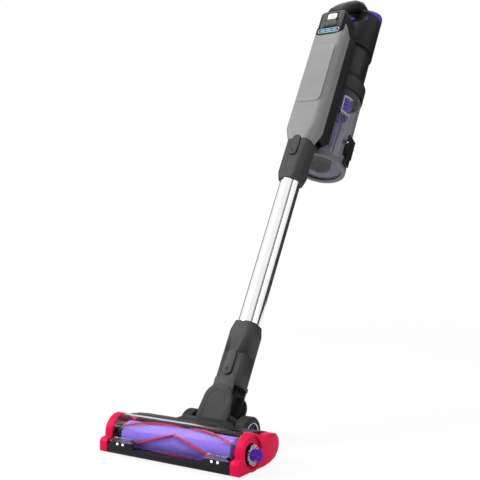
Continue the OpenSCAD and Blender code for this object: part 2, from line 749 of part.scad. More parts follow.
module bin_lid() {
  knuckle_l = 13;
  color("#6f6e72") stick() difference() {
    union() {
      at_pod() translate([0, 0, lid_t0]) difference() {
        cylinder(h = lid_h, r = lid_r, $fn = 96);
        translate([0, 0, -1]) cylinder(h = lid_h + 2, r = lid_r - 9, $fn = 96);
      }
      round_bin(hinge_turn) {
        translate([lid_r - 3, -knuckle_l / 2, lid_t0 + 1]) cube([6, knuckle_l, lid_h - 4]);
        translate([hinge_rad, knuckle_l / 2, hinge_t]) rotate([90, 0, 0]) cylinder(h = knuckle_l, r = 3.6);
      }
    }
    round_bin(hinge_turn) translate([hinge_rad, 30, hinge_t]) rotate([90, 0, 0]) cylinder(h = 60, r = hinge_pin_r + running);
    // Lip that seats in the bin's mouth
    at_pod() translate([0, 0, lid_t0 + 3]) cylinder(h = 3, r = lid_r - 9 + 1.5, $fn = 96);
  }
}
module lid_window() {
  color("#a9a4ba", 0.5) stick() at_pod() {
    translate([0, 0, lid_t0 + 3.2]) cylinder(h = 2.6, r = lid_r - 9 + 1.3, $fn = 96);
  }
}
module lid_boss() {
  color("#3c3846") stick() at_pod() difference() {
    translate([0, 0, lid_t0 + 5.8]) cylinder(h = 17, r = 24);
    translate([0, 0, lid_t0 + 8.5]) cylinder(h = 40, r = 21.5);
  }
}
module bin_latch() {
  in_low = bin_r + 1.4;
  in_high = bin_r + 4.2;
  out = bin_r + latch_proud;
  top = latch_low + latch_l;
  color("#232325") stick() round_bin(latch_turn) difference() {
    union() {
      // Hook over the lid's ring, then the body and the thumb pad above the pin
      translate([lid_r + gap, -latch_w / 2 + 4, lid_t0 + 4]) cube([out - lid_r - gap, latch_w - 8, latch_low - lid_t0]);
      translate([in_low, -latch_w / 2, latch_low]) cube([out - in_low, latch_w, latch_t - latch_low]);
      translate([in_high, -latch_w / 2, latch_t - 1]) cube([out - in_high, latch_w, top - 6 - latch_t + 1]);
      hull() {
        translate([in_high, -latch_w / 2, top - 6 - eps]) cube([out - in_high, latch_w, eps]);
        translate([in_high, -latch_w / 2 + 4, top]) cube([out - in_high - 4, latch_w - 8, eps]);
      }
      translate([latch_rad, latch_w / 2, latch_t]) rotate([90, 0, 0]) cylinder(h = latch_w, r = 3.6);
    }
    translate([latch_rad, 40, latch_t]) rotate([90, 0, 0]) cylinder(h = 80, r = latch_pin_r + running);
  }
}
cyclone_t1 = band_t0 + 2;
module cyclone_tube() {
  t0 = cyclone_t1 - cyclone_l;
  mid = t0 + cyclone_l * 0.4;
  color("#a898cf", 0.7) stick() at_pod() difference() {
    union() {
      translate([0, 0, t0]) cylinder(h = mid - t0 + eps, r1 = cyclone_low_d / 2, r2 = cyclone_top_d / 2 - 4);
      translate([0, 0, mid]) cylinder(h = cyclone_t1 - mid, r = cyclone_top_d / 2 - 4);
      translate([0, 0, cyclone_t1]) cylinder(h = 5.8, r = bin_r - bin_wall - 0.4, $fn = 96);
    }
    translate([0, 0, t0 - 1]) cylinder(h = mid - t0 + 1 + eps, r1 = cyclone_low_d / 2 - 2, r2 = cyclone_top_d / 2 - 6);
    translate([0, 0, mid]) cylinder(h = 2 * cyclone_l, r = cyclone_top_d / 2 - 6);
  }
}
module cyclone_fins() {
  t0 = cyclone_t1 - 46;
  color("#5a3fb0") stick() at_pod() for (i = [0 : fin_count - 1]) rotate([0, 0, i * 360 / fin_count])
    translate([cyclone_top_d / 2 - 3.8, 0, t0]) rotate([24, 0, 0]) translate([0, -0.8, 0]) cube([7, 1.6, 36]);
}
duct_t0 = collar_top - 2;
duct_t1 = casing_t0 + 62;
duct_t2 = band_t0 - 2;
duct_w = 40;
module duct_way(grow) {
  n0 = casing_back + 2.5;
  hull() {
    translate([0, 0, duct_t0]) cylinder(h = eps, r = bore_r - 3 + grow, $fn = soft_fn);
    translate([-duct_w / 2 - grow, n0 - grow, duct_t1]) cube([duct_w + 2 * grow, 16 + 2 * grow, eps]);
  }
  translate([-duct_w / 2 - grow, n0 - grow, duct_t1]) cube([duct_w + 2 * grow, 16 + 2 * grow, duct_t2 - duct_t1]);
}
module intake_duct() {
  color("#4a4a4d") stick() difference() {
    intersection() {
      duct_way(1.5);
      translate([-big, -big, duct_t0]) cube([2 * big, 2 * big, duct_t2 - duct_t0]);
    }
    difference() {
      duct_way(0);
      translate([-big, -big, duct_t2 - 2]) cube([2 * big, 2 * big, big]);
    }
    translate([0, 0, duct_t0 - 1]) cylinder(h = 2, r = bore_r - 3);
    translate([-13, casing_back + 6.5, band_t0 - 33]) cube([26, 30, 22]);
  }
}

// ---- Battery and board ----
cell_step = cell_l + 0.5;
cells_t0 = panel_t0 - battery_gap - cell_rows * cell_step + 0.5;
cell_n = -casing_front + shell + cell_d / 2 + 1;
module battery_cells() {
  color("#3f7fb8") stick() for (x = [-1, 0, 1], i = [0 : cell_rows - 1])
    if (x != 0 || i > 0) translate([x * (cell_d + 0.6), cell_n, cells_t0 + i * cell_step]) cylinder(h = cell_l, r = cell_d / 2);
}
module battery_tray() {
  h = cell_rows * cell_step - 1.5;
  n1 = cell_n + cell_d / 2 + 0.6;
  color("#d9d5cc") stick() {
    translate([-casing_w / 2 + shell + 1.5, n1, cells_t0]) cube([casing_w - 2 * shell - 3, 2, h]);
  }
}
module control_board() {
  color("#1f6b45") stick() translate([-panel_w / 2 + 7, -casing_front + panel_t + 8, panel_t0 + 3]) cube([panel_w - 14, 1.6, panel_h - 16]);
}

// ---- Wand, collar and neck ----
module release_pocket(t, grow) {
  translate([0, 0, t]) from_front(-socket_f - 6, 6 + pocket_depth) slot(release_w + 2 * grow, release_l + 2 * grow);
}
wand_button_t = collar_top - 16;
neck_button_t = neck_top - 79;
module release_button(t) {
  translate([0, 0, t]) difference() {
    union() {
      from_front(-socket_f - release_proud + 0.8, release_proud - 0.8 + pocket_depth - release_travel - gap) slot(release_w, release_l);
      from_front(-socket_f - release_proud, 2) translate([0, -release_l / 2 + release_w / 2 + 2]) slot(release_w, release_w + 4);
    }
    translate([0, -socket_f - release_proud - 3.4, -release_l / 2 + release_w / 2]) sphere(5);
  }
}
module collar() {
  color(dark) stick() difference() {
    bar(collar_bottom + rim_h, collar_l - rim_h, socket_w, socket_f, socket_f, socket_corner);
    translate([0, 0, collar_bottom - 1]) cylinder(h = socket_depth + 1, r = wand_r + seat);
    translate([0, 0, collar_bottom]) cylinder(h = 2 * collar_l, r = bore_r);
    release_pocket(wand_button_t, gap);
  }
}
module collar_rim() {
  color("#2b2b2d") stick() difference() {
    hull() {
      bar(collar_bottom + rim_h - 3 - seat, 3, socket_w, socket_f, socket_f, socket_corner, $fn = soft_fn);
      bar(collar_bottom, eps, tip_w, tip_f, tip_f, socket_corner, $fn = soft_fn);
    }
    translate([0, 0, collar_bottom - 1]) cylinder(h = big, r = wand_r + seat);
  }
}
module wand_button() { color(dark) stick() release_button(wand_button_t); }
module neck_button() { color(dark) stick() release_button(neck_button_t); }
module wand_tube() {
  color("#e4e5e8") stick() tube(neck_top - socket_depth + 0.5, collar_bottom - neck_top + 2 * socket_depth - 1, wand_r, bore_r);
}
tongue_front = yoke_front - 5;
module upper_neck() {
  color(dark) stick() difference() {
    union() {
      bar(neck_t0, neck_top - socket_bevel - neck_t0, socket_w, socket_f, socket_f, socket_corner);
      hull() {
        bar(neck_top - socket_bevel - eps, eps, socket_w, socket_f, socket_f, socket_corner, $fn = soft_fn);
        bar(neck_top - eps, eps, tip_w, tip_f, tip_f, socket_corner, $fn = soft_fn);
      }
      for (s = [-1, 1]) {
        from_front(s > 0 ? hose_d / 2 + 3 : -tongue_front + 0.4, 3.6) {
          translate([0, swivel_t]) circle(20);
          translate([-20, swivel_t]) square([40, neck_t0 - swivel_t + 6]);
        }
        from_front(s > 0 ? hose_d / 2 + 3 : -tongue_front + 0.4, 6) translate([-20, neck_t0]) square([40, 8]);
      }
    }
    translate([0, 0, neck_top - socket_depth]) cylinder(h = big, r = wand_r + seat);
    translate([0, 0, 0]) cylinder(h = big, r = bore_r - 1);
    rod_n(-60, 120, 0, swivel_t, swivel_pin_d / 2 + running);
    release_pocket(neck_button_t, gap);
  }
}

// ---- Yoke: side swivel above, tilt hinge below ----
cover_n = hose_d / 2 + 7.2;
cover_t = 6;
module yoke_outline(grow) {
  translate([0, swivel_t]) circle(yoke_r + grow);
  polygon([[-yoke_foot - grow, -6], [-yoke_foot - grow, 14], [-yoke_r - grow, swivel_t], [yoke_r + grow, swivel_t],
    [yoke_foot + grow, 14], [yoke_foot + grow, -6]]);
}
module inlay_outline(grow) {
  translate([0, swivel_t - 2]) circle(18 + grow);
  polygon([[-20 - grow, -7], [-18 - grow, swivel_t - 2], [18 + grow, swivel_t - 2], [20 + grow, -7]]);
}
module yoke() {
  wall = 7;
  pivot = [stick_ahead, -foot_rise];
  color(dark) stick() difference() {
    union() {
      from_front(-yoke_front, 4.4) yoke_outline(0);
      intersection() {
        union() {
          // Cheeks down to the axle
          for (x = [-yoke_foot, yoke_foot - wall]) from_side(x, wall) {
            polygon([[-yoke_front, -6], [-yoke_front, 12], [cover_n - 0.1, 12], [cover_n - 0.1, 0], [pivot[0] + barrel_r, pivot[1]], [pivot[0] - barrel_r, pivot[1]]]);
            translate(pivot) circle(barrel_r);
          }
          rod_x(-yoke_foot, 2 * yoke_foot, pivot[0], pivot[1], barrel_r);
        }
        translate([-yoke_foot, -big, -big]) cube([2 * yoke_foot, 2 * big, 2 * big]);
      }
      from_side(-yoke_foot + 1, 2 * yoke_foot - 2) polygon([[-yoke_front + 1, 4], [-yoke_front + 1, 9], [-yoke_front + 6, 9], [-6, 4], [-6, 0], [-14, 0]]);
    }
    rod_x(-big, 2 * big, pivot[0], pivot[1], axle_d / 2 + running);
    from_front(-yoke_front - 1, 2) inlay_outline(seat);
    rod_n(-yoke_front + 1.2, 60, 0, swivel_t, swivel_pin_d / 2);
    // Room for the hose's foot
    translate([0, 0, -2]) cylinder(h = 40, r = hose_d / 2 + 0.2);
  }
}
module yoke_inlay() { color("#454547") stick() from_front(-yoke_front - 0.2, 1.2 - seat) inlay_outline(0); }
module swivel_cover() {
  color("#242426") stick() difference() {
    from_front(cover_n, cover_t) {
      translate([0, swivel_t]) circle(cover_r);
      translate([-cover_r, 1]) square([2 * cover_r, swivel_t - 1]);
    }
    from_front(cover_n + cover_t - 1, 3) translate([0, swivel_t]) difference() { circle(cover_r - 4); circle(cover_r - 6); }
    rod_n(cover_n - 1, 4, 0, swivel_t, swivel_pin_d / 2);
  }
}
module swivel_pins() {
  color("#b8bac0") stick() {
    rod_n(-yoke_front + 1.25, yoke_front - hose_d / 2 - 2, 0, swivel_t, swivel_pin_d / 2 - eps);
    rod_n(hose_d / 2 + 0.8, cover_n + 3 - hose_d / 2 - 0.8, 0, swivel_t, swivel_pin_d / 2 - eps);
  }
}
module duct_hose() {
  rings = 8;
  t0 = -1;
  r = hose_d / 2;
  pitch = (neck_t0 - 9 - t0) / rings;
  color("#1a1a1c") stick() translate([0, 0, t0]) rotate_extrude() polygon(concat(
    [for (i = [0 : rings - 1]) each [[r - 2, i * pitch], [r, (i + 0.3) * pitch], [r, (i + 0.6) * pitch], [r - 2, (i + 0.9) * pitch]]],
    [[r - 2, rings * pitch], [r - 4, rings * pitch], [r - 4, 0]]));
}

// ---- Floor head: y back, z up, drawn in the side view as [y, z] ----
function turn_point(c, r, a) = [c[0] + r * cos(a), c[1] + r * sin(a)];
nose = [-brush_y, nose_z];
axle = [0, axle_h];
foot_chamfer = 2.5;
swing_r = yoke_front + stick_ahead + 3.4;
tongue_l = 7;
module head_base() {
  x0 = -inner_x + seat;
  w = 2 * (inner_x - seat);
  sole = 3;
  duct_w = 40;
  color(black) at_origin() difference() {
    union() {
      // Sole, bumper and rear wall
      from_side(x0, w) {
        polygon([[-bumper_y, sole_z + foot_chamfer], [-bumper_y + foot_chamfer, sole_z], [-chassis_rear - 6, sole_z],
          [-chassis_rear, sole_z + 8], [-chassis_rear, chassis_top - 18], [-chassis_rear - 2.5, chassis_top - 18],
          [-chassis_rear - 2.5, sole_z + 9], [-chassis_rear - 7, sole_z + sole], [-brush_y + 8, sole_z + sole],
          [-brush_y - 12, sole_z + sole], [-bumper_y + 9, bumper_top - 4], [-bumper_y + 9, bumper_top],
          [-bumper_y + 1.5, bumper_top], [-bumper_y, bumper_top - 2]]);
      }
      // Wall behind the brush
      from_side(x0, w) polygon([[-brush_y + nose_r + 2, sole_z], [-brush_y + nose_r + 4, sole_z],
        [-brush_y + nose_r + 4, chassis_top - 3], [-brush_y + nose_r + 2, chassis_top - 3]]);
      // Air duct back to the yoke
      from_side(-duct_w / 2, duct_w) polygon([[-brush_y + nose_r + 3, sole_z + 1], [-6, sole_z + 1], [-6, axle_h - 2],
        [-chassis_rear - 1, axle_h - 1], [-brush_y + nose_r + 3, chassis_top - 12]]);
      // Lamp housings on the bumper
      for (s = [-1, 1]) lamp_wall(s, bumper_top - 1, lamp_top, 4.5, 0);
      // Screw posts
      for (x = screw_xs) translate([x, screw_y, sole_z + 1]) cylinder(h = 9, r = 4.6);
      // Tongues that carry the end caps
      for (s = [-1, 1]) from_side(s > 0 ? inner_x - 6 : -inner_x - tongue_l, 6 + tongue_l)
        translate([-bumper_y + 9, sole_z + 2.6]) square([bumper_y - brush_y + nose_r - 7, 1.6]);
      // Arms to the axle
      for (s = [-1, 1]) from_side(s > 0 ? arm_x0 : -arm_x1, arm_x1 - arm_x0) {
        polygon([[-chassis_rear - 3, sole_z + 6], [-chassis_rear - 3, chassis_top - 18], [-chassis_rear + 0.3, chassis_top - 17.8], [-chassis_rear + 0.3, chassis_top - 2], [-8, axle_h + 19], [8, axle_h + 13], [13, axle_h], [8, 14], [-12, 9]]);
      }
    }
    // Dip between the lamps
    translate([-dip_x, -bumper_y - 1, bumper_top - bumper_dip]) cube([2 * dip_x, 14, bumper_dip + 1]);
    // Suction mouth
    translate([-mouth_w / 2, -bumper_y + 12, -1]) cube([mouth_w, bumper_y - 12 - brush_y + nose_r - 2, 20]);
    // Room for the brush, and for its spindle beside it
    rod_x(-mouth_w / 2, mouth_w, -brush_y, brush_axis_z, tip_r + 0.8, $fn = 96);
    rod_x(-big, 2 * big, -brush_y, brush_axis_z, spindle_d / 2 + gap);
    // Inside of the duct
    from_side(-duct_w / 2 + 2, duct_w - 4) polygon([[-brush_y + nose_r - 4, sole_z + 3], [0, sole_z + 3], [0, axle_h - 4.5],
      [-chassis_rear, axle_h - 3], [-brush_y + nose_r - 4, chassis_top - 16]]);
    // Cradle round the yoke's barrel
    rod_x(-yoke_foot - 3, 2 * yoke_foot + 6, 0, axle_h, barrel_r + gap, $fn = 96);
    // Yoke's swing
    from_side(-arm_x0 + eps, 2 * arm_x0 - 2 * eps) difference() {
      circle_at(axle, swing_r);
      translate([-big, -big]) square([2 * big, big + axle_h - 3.2]);
    }
    // Axle seats
    rod_x(-big, 2 * big, 0, axle_h, axle_d / 2 + eps);
    // Lamp holes in the housings' face
    for (x = lamp_xs) rod_y(-bumper_y - 1, 6, x, lamp_top - 2.8, lamp_r + 0.1);
    for (x = screw_xs) translate([x, screw_y, 0]) {
      cylinder(h = sole_z + 2.7, r = 3.6);
      cylinder(h = sole_z + 9, r = 1.5 + eps);
    }
    // Motor's seat
    rod_x(-big, 2 * big, motor_y, motor_z, 14.3);
  }
}
lamp_mid = inner_x - 27.5;
lamp_top = bumper_top + lamp_rise;
lamp_r = 2;
dip_x = lamp_mid - lamp_half - 1;
lip_a = 20;
// Sloping-ended wall in front of the window, from z0 to z1 and d deep, n behind the bumper's face
module lamp_wall(s, z0, z1, d, n) {
  h = z1 - z0;
  translate([s * lamp_mid, -bumper_y + n, z0]) rotate([90, 0, 0]) mirror([0, 0, 1])
    linear_extrude(d) polygon([[-lamp_half, 0], [lamp_half, 0], [lamp_half - h, h], [h - lamp_half, h]]);
}
lamp_xs = [-lamp_mid - 5.5, -lamp_mid + 5.5, lamp_mid - 5.5, lamp_mid + 5.5];
module circle_at(c, r) { translate(c) circle(r, $fn = 96); }
module rod_y(y0, l, x, z, r) { translate([x, y0, z]) rotate([-90, 0, 0]) cylinder(h = l, r = r); }
screw_out = inner_x - 19;
screw_xs = [-screw_out, -38, 38, screw_out];
screw_y = -52;
module sole_screws() {
  color("#8d8f94") at_origin() for (x = screw_xs) translate([x, screw_y, sole_z + 0.6]) difference() {
    union() {
      cylinder(h = 2, r = 3.4);
      cylinder(h = 8, r = 1.5);
    }
    translate([0, 0, -1]) cylinder(h = 2.2, r = 1.6, $fn = 6);
  }
}
module head_housing() {
  x0 = -inner_x + seat;
  w = 2 * (inner_x - seat);
  joint = turn_point(nose, nose_r, window_rear);
  lip = turn_point(nose, nose_r - 2.4, window_rear);
  rear = -chassis_rear + 0.2;
  color(dark) at_origin() difference() {
    union() {
      from_side(x0, w) polygon([joint, joint + [10, -0.5], [-58, chassis_top + 3], [-44, chassis_top], [-36, chassis_top - 4], [rear, chassis_top - 11],
        [rear, chassis_top - 17.5], [rear - 2.6, chassis_top - 17.5], [rear - 2.6, chassis_top - 11.5],
        [-38, chassis_top - 6.4], [-45, chassis_top - 2.6], [-58, chassis_top + 0.4], lip + [10, -1], lip]);
      // Raised platform in front of the yoke
      hull() {
        translate([0, 0, chassis_top - 1]) linear_extrude(eps) translate([0, -52]) square([104, 34], center = true);
        translate([0, 0, chassis_top + 5.5]) linear_extrude(eps) translate([0, -49]) square([84, 22], center = true);
      }
    }
    // Hollow under the platform
    translate([-36, -60, chassis_top - 8]) cube([72, 22, 10]);
    // Yoke's swing
    from_side(-arm_x0, 2 * arm_x0) circle_at(axle, swing_r);
    rod_x(-big, 2 * big, -brush_y, nose_z, window_r, $fn = 96);
  }
}
module roller_window() {
  x0 = -inner_x + seat;
  w = 2 * (inner_x - seat);
  // Straight lip that carries the window down into the bumper's dip
  start = turn_point(nose, nose_r, 180 + lip_a);
  down = [sin(lip_a), -cos(lip_a)];
  inward = window_wall * [cos(lip_a), sin(lip_a)];
  lip_l = (start[1] - bumper_top + bumper_dip - 0.3) / cos(lip_a);
  color("#8d8d99", 0.35) at_origin() {
    from_side(-dip_x + 0.3, 2 * dip_x - 0.6)
      polygon([start, start + lip_l * down, start + lip_l * down + inward, start + inward]);
    difference() {
      rod_x(x0, w, nose[0], nose[1], nose_r, $fn = 96);
      rod_x(x0 - 1, w + 2, nose[0], nose[1], window_r, $fn = 96);
      from_side(x0 - 1, w + 2) polygon([nose, turn_point(nose, 60, window_rear + 0.3), nose + [90, 60],
        nose + [90, -90], nose + [-90, -90], [nose[0] - 90, start[1] - eps], [nose[0], start[1] - eps]]);
    }
  }
}
module lamp_guides() {
  color("#c9c9d4", 0.6) at_origin() difference() {
    for (s = [-1, 1]) lamp_wall(s, lamp_top + seat, lamp_top + 5.2, 9, 1.2);
    rod_x(-big, 2 * big, nose[0], nose[1], nose_r + seat, $fn = 96);
  }
}
module head_lamps() {
  color("white") at_origin() for (x = lamp_xs) rod_y(-bumper_y - 0.4, 5, x, lamp_top - 2.8, lamp_r);
}
module cap_outline(inset) {
  i = inset;
  translate(nose) circle(nose_r - i, $fn = 96);
  polygon([[-bumper_y - 1 + i, sole_z + i + 2], [-bumper_y + 2 + i, sole_z + i], [-74, sole_z + i], [-57, sole_z + i + 2], [-41, sole_z + i + 7],
    [-41, 30], [-90, 30], [nose[0] - nose_r + i, nose_z], [nose[0] - nose_r + i, 27 - i], [-bumper_y + 2 + i, 25 - i], [-bumper_y - 1 + i, 21 - i]]);
  translate([-62, 32]) circle(17.5 - i);
  translate([-50, 29.5]) circle(18.8 - i);
  polygon([[-62, 49.3 - i], [-50, 48.1 - i], [-50, 20], [-86, 20], [-86, 40 - i]]);
}
module cap_shell(x0, x1, face) {
  // face is the side of the outer wall: 1 right, -1 left
  difference() {
    from_side(x0, x1 - x0) cap_outline(0);
    from_side(face > 0 ? x0 - 1 : x0 + 2.6, x1 - x0 - 1.6) cap_outline(2.4);
  }
}
boss_r = 9;
// Bulge on the left cap's round end, from `inside` mm within the cap, made smaller by `inset`
module end_crown(inside, inset) {
  translate([inside - cap_x, nose[0], nose[1]]) rotate([0, -90, 0])
    cylinder(h = cap_crown + inside - inset, r1 = nose_r - inset, r2 = nose_r - 8 - inset, $fn = 96);
}
module left_cap() {
  color(crimson) at_origin() difference() {
    union() {
      cap_shell(-cap_x, -inner_x, -1);
      end_crown(1, 0);
      rod_x(-cap_x + 1, 5, -brush_y, brush_axis_z, boss_r);
    }
    difference() {
      end_crown(3, 2.4);
      rod_x(-cap_x - cap_crown, cap_crown + 5, -brush_y, brush_axis_z, boss_r);
    }
    rod_x(-cap_x + 2, 10, -brush_y, brush_axis_z, spindle_d / 2 + running);
  }
}
edge_room = 17;
module right_cap() {
  dish_floor = cap_x - 5;
  color(crimson) at_origin() difference() {
    union() {
      cap_shell(inner_x, cap_x, 1);
      // Bowl of the dish, and the drum that holds the edge brush
      rod_x(dish_floor - 2.4, cap_x - dish_floor + 2.4, nose[0], nose[1], dish_r + 2, $fn = 96);
      rod_x(inner_x, dish_floor - inner_x, -brush_y, brush_axis_z, edge_room + 2.4, $fn = 96);
    }
    rod_x(dish_floor, 6, nose[0], nose[1], dish_r, $fn = 96);
    rod_x(inner_x + 2.5, cap_w, -brush_y, brush_axis_z, edge_room, $fn = 96);
    rod_x(inner_x - 1, cap_w, -brush_y, brush_axis_z, spindle_d / 2 + running);
  }
}
module brush_motor() {
  color("#8e9096") at_origin() difference() {
    rod_x(-60, 70, motor_y, motor_z, 14);
    rod_x(-61, 40, motor_y, motor_z, 2 + running);
  }
}
module toothed(x0, l, y, z, r, teeth) {
  rod_x(x0, l, y, z, r - 0.6);
  for (i = [0 : teeth - 1]) translate([x0, y, z]) rotate([i * 360 / teeth, 0, 0])
    translate([0, -0.5, r - 2.5]) cube([l, 1, 2.5]);
}
module motor_pulley() {
  color("#c8c8cc") at_origin() {
    toothed(belt_x, belt_w, motor_y, motor_z, motor_pulley_r, motor_teeth);
    rod_x(belt_x + belt_w - eps, 50, motor_y, motor_z, 2);
  }
}
module brush_pulley() {
  color("#c8c8cc") at_origin() difference() {
    toothed(belt_x, belt_w, -brush_y, brush_axis_z, pulley_r, brush_teeth);
    rod_x(belt_x - 1, belt_w + 2, -brush_y, brush_axis_z, spindle_d / 2);
  }
}
module belt_outline(grow) {
  a = [-brush_y, brush_axis_z];
  b = [motor_y, motor_z];
  ra = pulley_r + gap + grow;
  rb = motor_pulley_r + gap + grow;
  d = norm(b - a);
  dir = atan2(b[1] - a[1], b[0] - a[0]);
  wrap = asin((ra - rb) / d);
  polygon(concat([for (i = [0 : 20]) turn_point(a, ra, dir + 90 - wrap + i * (180 + 2 * wrap) / 20)],
    [for (i = [0 : 14]) turn_point(b, rb, dir - 90 + wrap + i * (180 - 2 * wrap) / 14)]));
}
module drive_belt() {
  color("#19191b") at_origin() from_side(belt_x + 0.3, belt_w - 0.6) difference() {
    belt_outline(belt_t);
    belt_outline(0);
  }
}

// ---- Brush ----
core_l = mouth_w - 4;
module brush_core() {
  color("#a184f0") at_origin() difference() {
    union() {
      rod_x(-core_l / 2, core_l, -brush_y, brush_axis_z, brush_d / 2, $fn = 96);
      rod_x(-cap_x + 2.5, cap_x + inner_x + 6.3, -brush_y, brush_axis_z, spindle_d / 2 - eps);
    }
    at_brush() for (i = [0 : bristle_count - 1], s = [0, 1]) mirror([s, 0, 0]) strip(i, 0.1);
  }
}
module at_brush() { translate([0, -brush_y, brush_axis_z]) children(); }
// One bristle strip on half of the roll: short straight runs that step round it
strip_runs = 8;
module strip(i, grow) {
  run = (core_l / 2 - 2) / strip_runs;
  step = bristle_sweep / strip_runs;
  for (k = [0 : strip_runs - 1]) rotate([bristle_turn + i * 360 / bristle_count + k * step, 0, 0])
    translate([k * run - 0.6, -2.2 - grow, brush_d / 2 - 3 - grow]) cube([run + 1.2, 4.4 + 2 * grow, bristle_h + 3 + grow]);
}
module bristle_strips() {
  color("#e0305a") at_origin() at_brush() for (i = [0 : bristle_count - 1], s = [0, 1]) mirror([s, 0, 0]) strip(i, 0);
}
module edge_brush() {
  color("#5b1fd0") at_origin() difference() {
    rod_x(inner_x + 7.4, 5, -brush_y, brush_axis_z, 14.5);
    rod_x(inner_x, 9, -brush_y, brush_axis_z, spindle_d / 2);
  }
}
module edge_bristles() {
  outer = 14;
  color("#6a2be0") at_origin() at_brush() {
    for (i = [0 : outer - 1]) rotate([i * 360 / outer, 0, 0]) translate([inner_x + 12.4, 0, 9.5]) rotate([0, 90, 0]) cylinder(h = cap_w - 12.4 + edge_reach, r = 1.7, $fn = 16);
    for (i = [0 : 5]) rotate([i * 60, 0, 0]) translate([inner_x + 12.4, 0, 4.5]) rotate([0, 90, 0]) cylinder(h = cap_w - 12.4 + edge_reach + 2, r = 1.7, $fn = 16);
  }
}

// ---- Wheels ----
module wheel_axle() {
  color("#b8bac0") at_origin() rod_x(-wheel_track / 2 + 3.5, wheel_track - 7, 0, axle_h, axle_d / 2);
}
module at_wheel(s) { at_origin() translate([s * wheel_track / 2, 0, axle_h]) rotate([0, -90 * s, 0]) children(); }
tyre_in = hub_r + 1;
module tyre() {
  c = 4;
  r = wheel_d / 2;
  color("#17171a") rotate_extrude($fn = 96) difference() {
    union() {
      translate([tyre_in, 0]) square([r - c - tyre_in, wheel_w]);
      translate([tyre_in, c]) square([r - tyre_in, wheel_w - 2 * c]);
      for (y = [c, wheel_w - c]) translate([r - c, y]) circle(c);
    }
  }
}
module hub() {
  color("#b9b4d8") difference() {
    union() {
      rotate_extrude($fn = 96) {
        translate([hub_r - 2.2, 0.6]) square([2.9, wheel_w - 1.2]);
        translate([axle_d / 2 + running, 2.2]) square([4, wheel_w - 3]);
        translate([0, 1.4]) square([7, 1.6]);
        translate([axle_d / 2 + 2, wheel_w / 2]) square([hub_r - axle_d / 2 - 2, 3]);
      }
      for (i = [0 : spoke_count - 1]) rotate([0, 0, i * 360 / spoke_count]) translate([6, -1, 1.8]) cube([hub_r - 7, 2, wheel_w / 2]);
    }
    translate([0, 0, 3.2]) cylinder(h = wheel_w, r = axle_d / 2 + running);
  }
}
module left_tyre() { at_wheel(-1) tyre(); }
module right_tyre() { at_wheel(1) tyre(); }
module left_hub() { at_wheel(-1) hub(); }
module right_hub() { at_wheel(1) hub(); }

front_casing();
rear_frame();
control_panel();
battery_lights();
power_button();
handle_arch();
grip_pad();
motor_housing();
pod_shroud();
suction_motor();
impeller();
filter_cap();
filter_element();
filter_release();
bin_band();
bin_shell();
cyclone_tube();
cyclone_fins();
intake_duct();
bin_lid();
lid_window();
lid_boss();
lid_hinge_pin();
bin_latch();
latch_pin();
battery_cells();
battery_tray();
control_board();
collar();
collar_rim();
wand_button();
wand_tube();
upper_neck();
neck_button();
yoke();
yoke_inlay();
swivel_cover();
swivel_pins();
duct_hose();
head_base();
head_housing();
roller_window();
left_cap();
right_cap();
head_lamps();
lamp_guides();
brush_motor();
motor_pulley();
drive_belt();
brush_pulley();
brush_core();
bristle_strips();
edge_brush();
edge_bristles();
wheel_axle();
left_tyre();
left_hub();
right_tyre();
right_hub();
sole_screws();
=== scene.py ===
# %% [markdown]
# A cordless stick vacuum leans back on its floor head. This lesson dresses its fixed CAD frame:
# every finish is mixed from nodes, and the soft, fuzzy or ribbed pieces are modelled again.
# The first cell loads the frame.

# %% Load the frame
import json
import math
import random

import bpy
from mathutils import Matrix, Vector


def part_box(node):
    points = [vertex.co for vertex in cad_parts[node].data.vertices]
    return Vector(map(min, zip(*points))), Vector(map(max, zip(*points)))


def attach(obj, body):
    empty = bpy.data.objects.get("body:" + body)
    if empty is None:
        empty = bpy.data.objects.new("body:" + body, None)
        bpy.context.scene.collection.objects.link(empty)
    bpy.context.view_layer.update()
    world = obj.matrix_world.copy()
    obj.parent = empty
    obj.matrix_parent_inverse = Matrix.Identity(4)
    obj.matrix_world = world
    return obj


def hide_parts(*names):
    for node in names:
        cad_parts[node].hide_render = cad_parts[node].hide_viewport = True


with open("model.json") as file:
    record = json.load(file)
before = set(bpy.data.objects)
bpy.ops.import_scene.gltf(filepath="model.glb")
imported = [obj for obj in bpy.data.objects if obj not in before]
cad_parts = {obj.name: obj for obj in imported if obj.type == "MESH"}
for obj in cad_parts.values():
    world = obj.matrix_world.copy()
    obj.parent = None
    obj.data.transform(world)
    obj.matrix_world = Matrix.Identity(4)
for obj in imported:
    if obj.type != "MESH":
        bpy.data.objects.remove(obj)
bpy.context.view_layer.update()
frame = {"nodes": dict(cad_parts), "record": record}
nodes = frame["nodes"]

# %% [markdown]
# The wand leans back by 30.2 degrees. Measuring along it is easier than along the room's axes, so
# `stick(x, n, t)` takes millimetres across, back and up along the wand and gives the room's metres.
# `room(x, y, z)` does the same for the floor head, from the wheel axle's line on the floor.

# %% Places in millimetres
MM = 0.001
LEAN = math.radians(30.2)
GRIP = Vector((0.0, 501.361, 854.731))
AXLE_Z = 27.5
STICK_AHEAD, FOOT_RISE = 3.8, 6.5
FLOOR_Z = -GRIP.z * MM
POD_N = 84.0  # the bin's and the motor housing's axis, behind the wand's


def room(x, y, z):
    return (Vector((x, y, z)) - GRIP) * MM


def stick(x, n, t):
    n, t = n - STICK_AHEAD, t + FOOT_RISE
    back = n * math.cos(LEAN) + t * math.sin(LEAN)
    return room(x, back, AXLE_Z + t * math.cos(LEAN) - n * math.sin(LEAN))


def along(x, n, t):
    """A direction on the wand, as a direction in the room."""
    return (stick(x, n, t) - stick(0, 0, 0)).normalized()


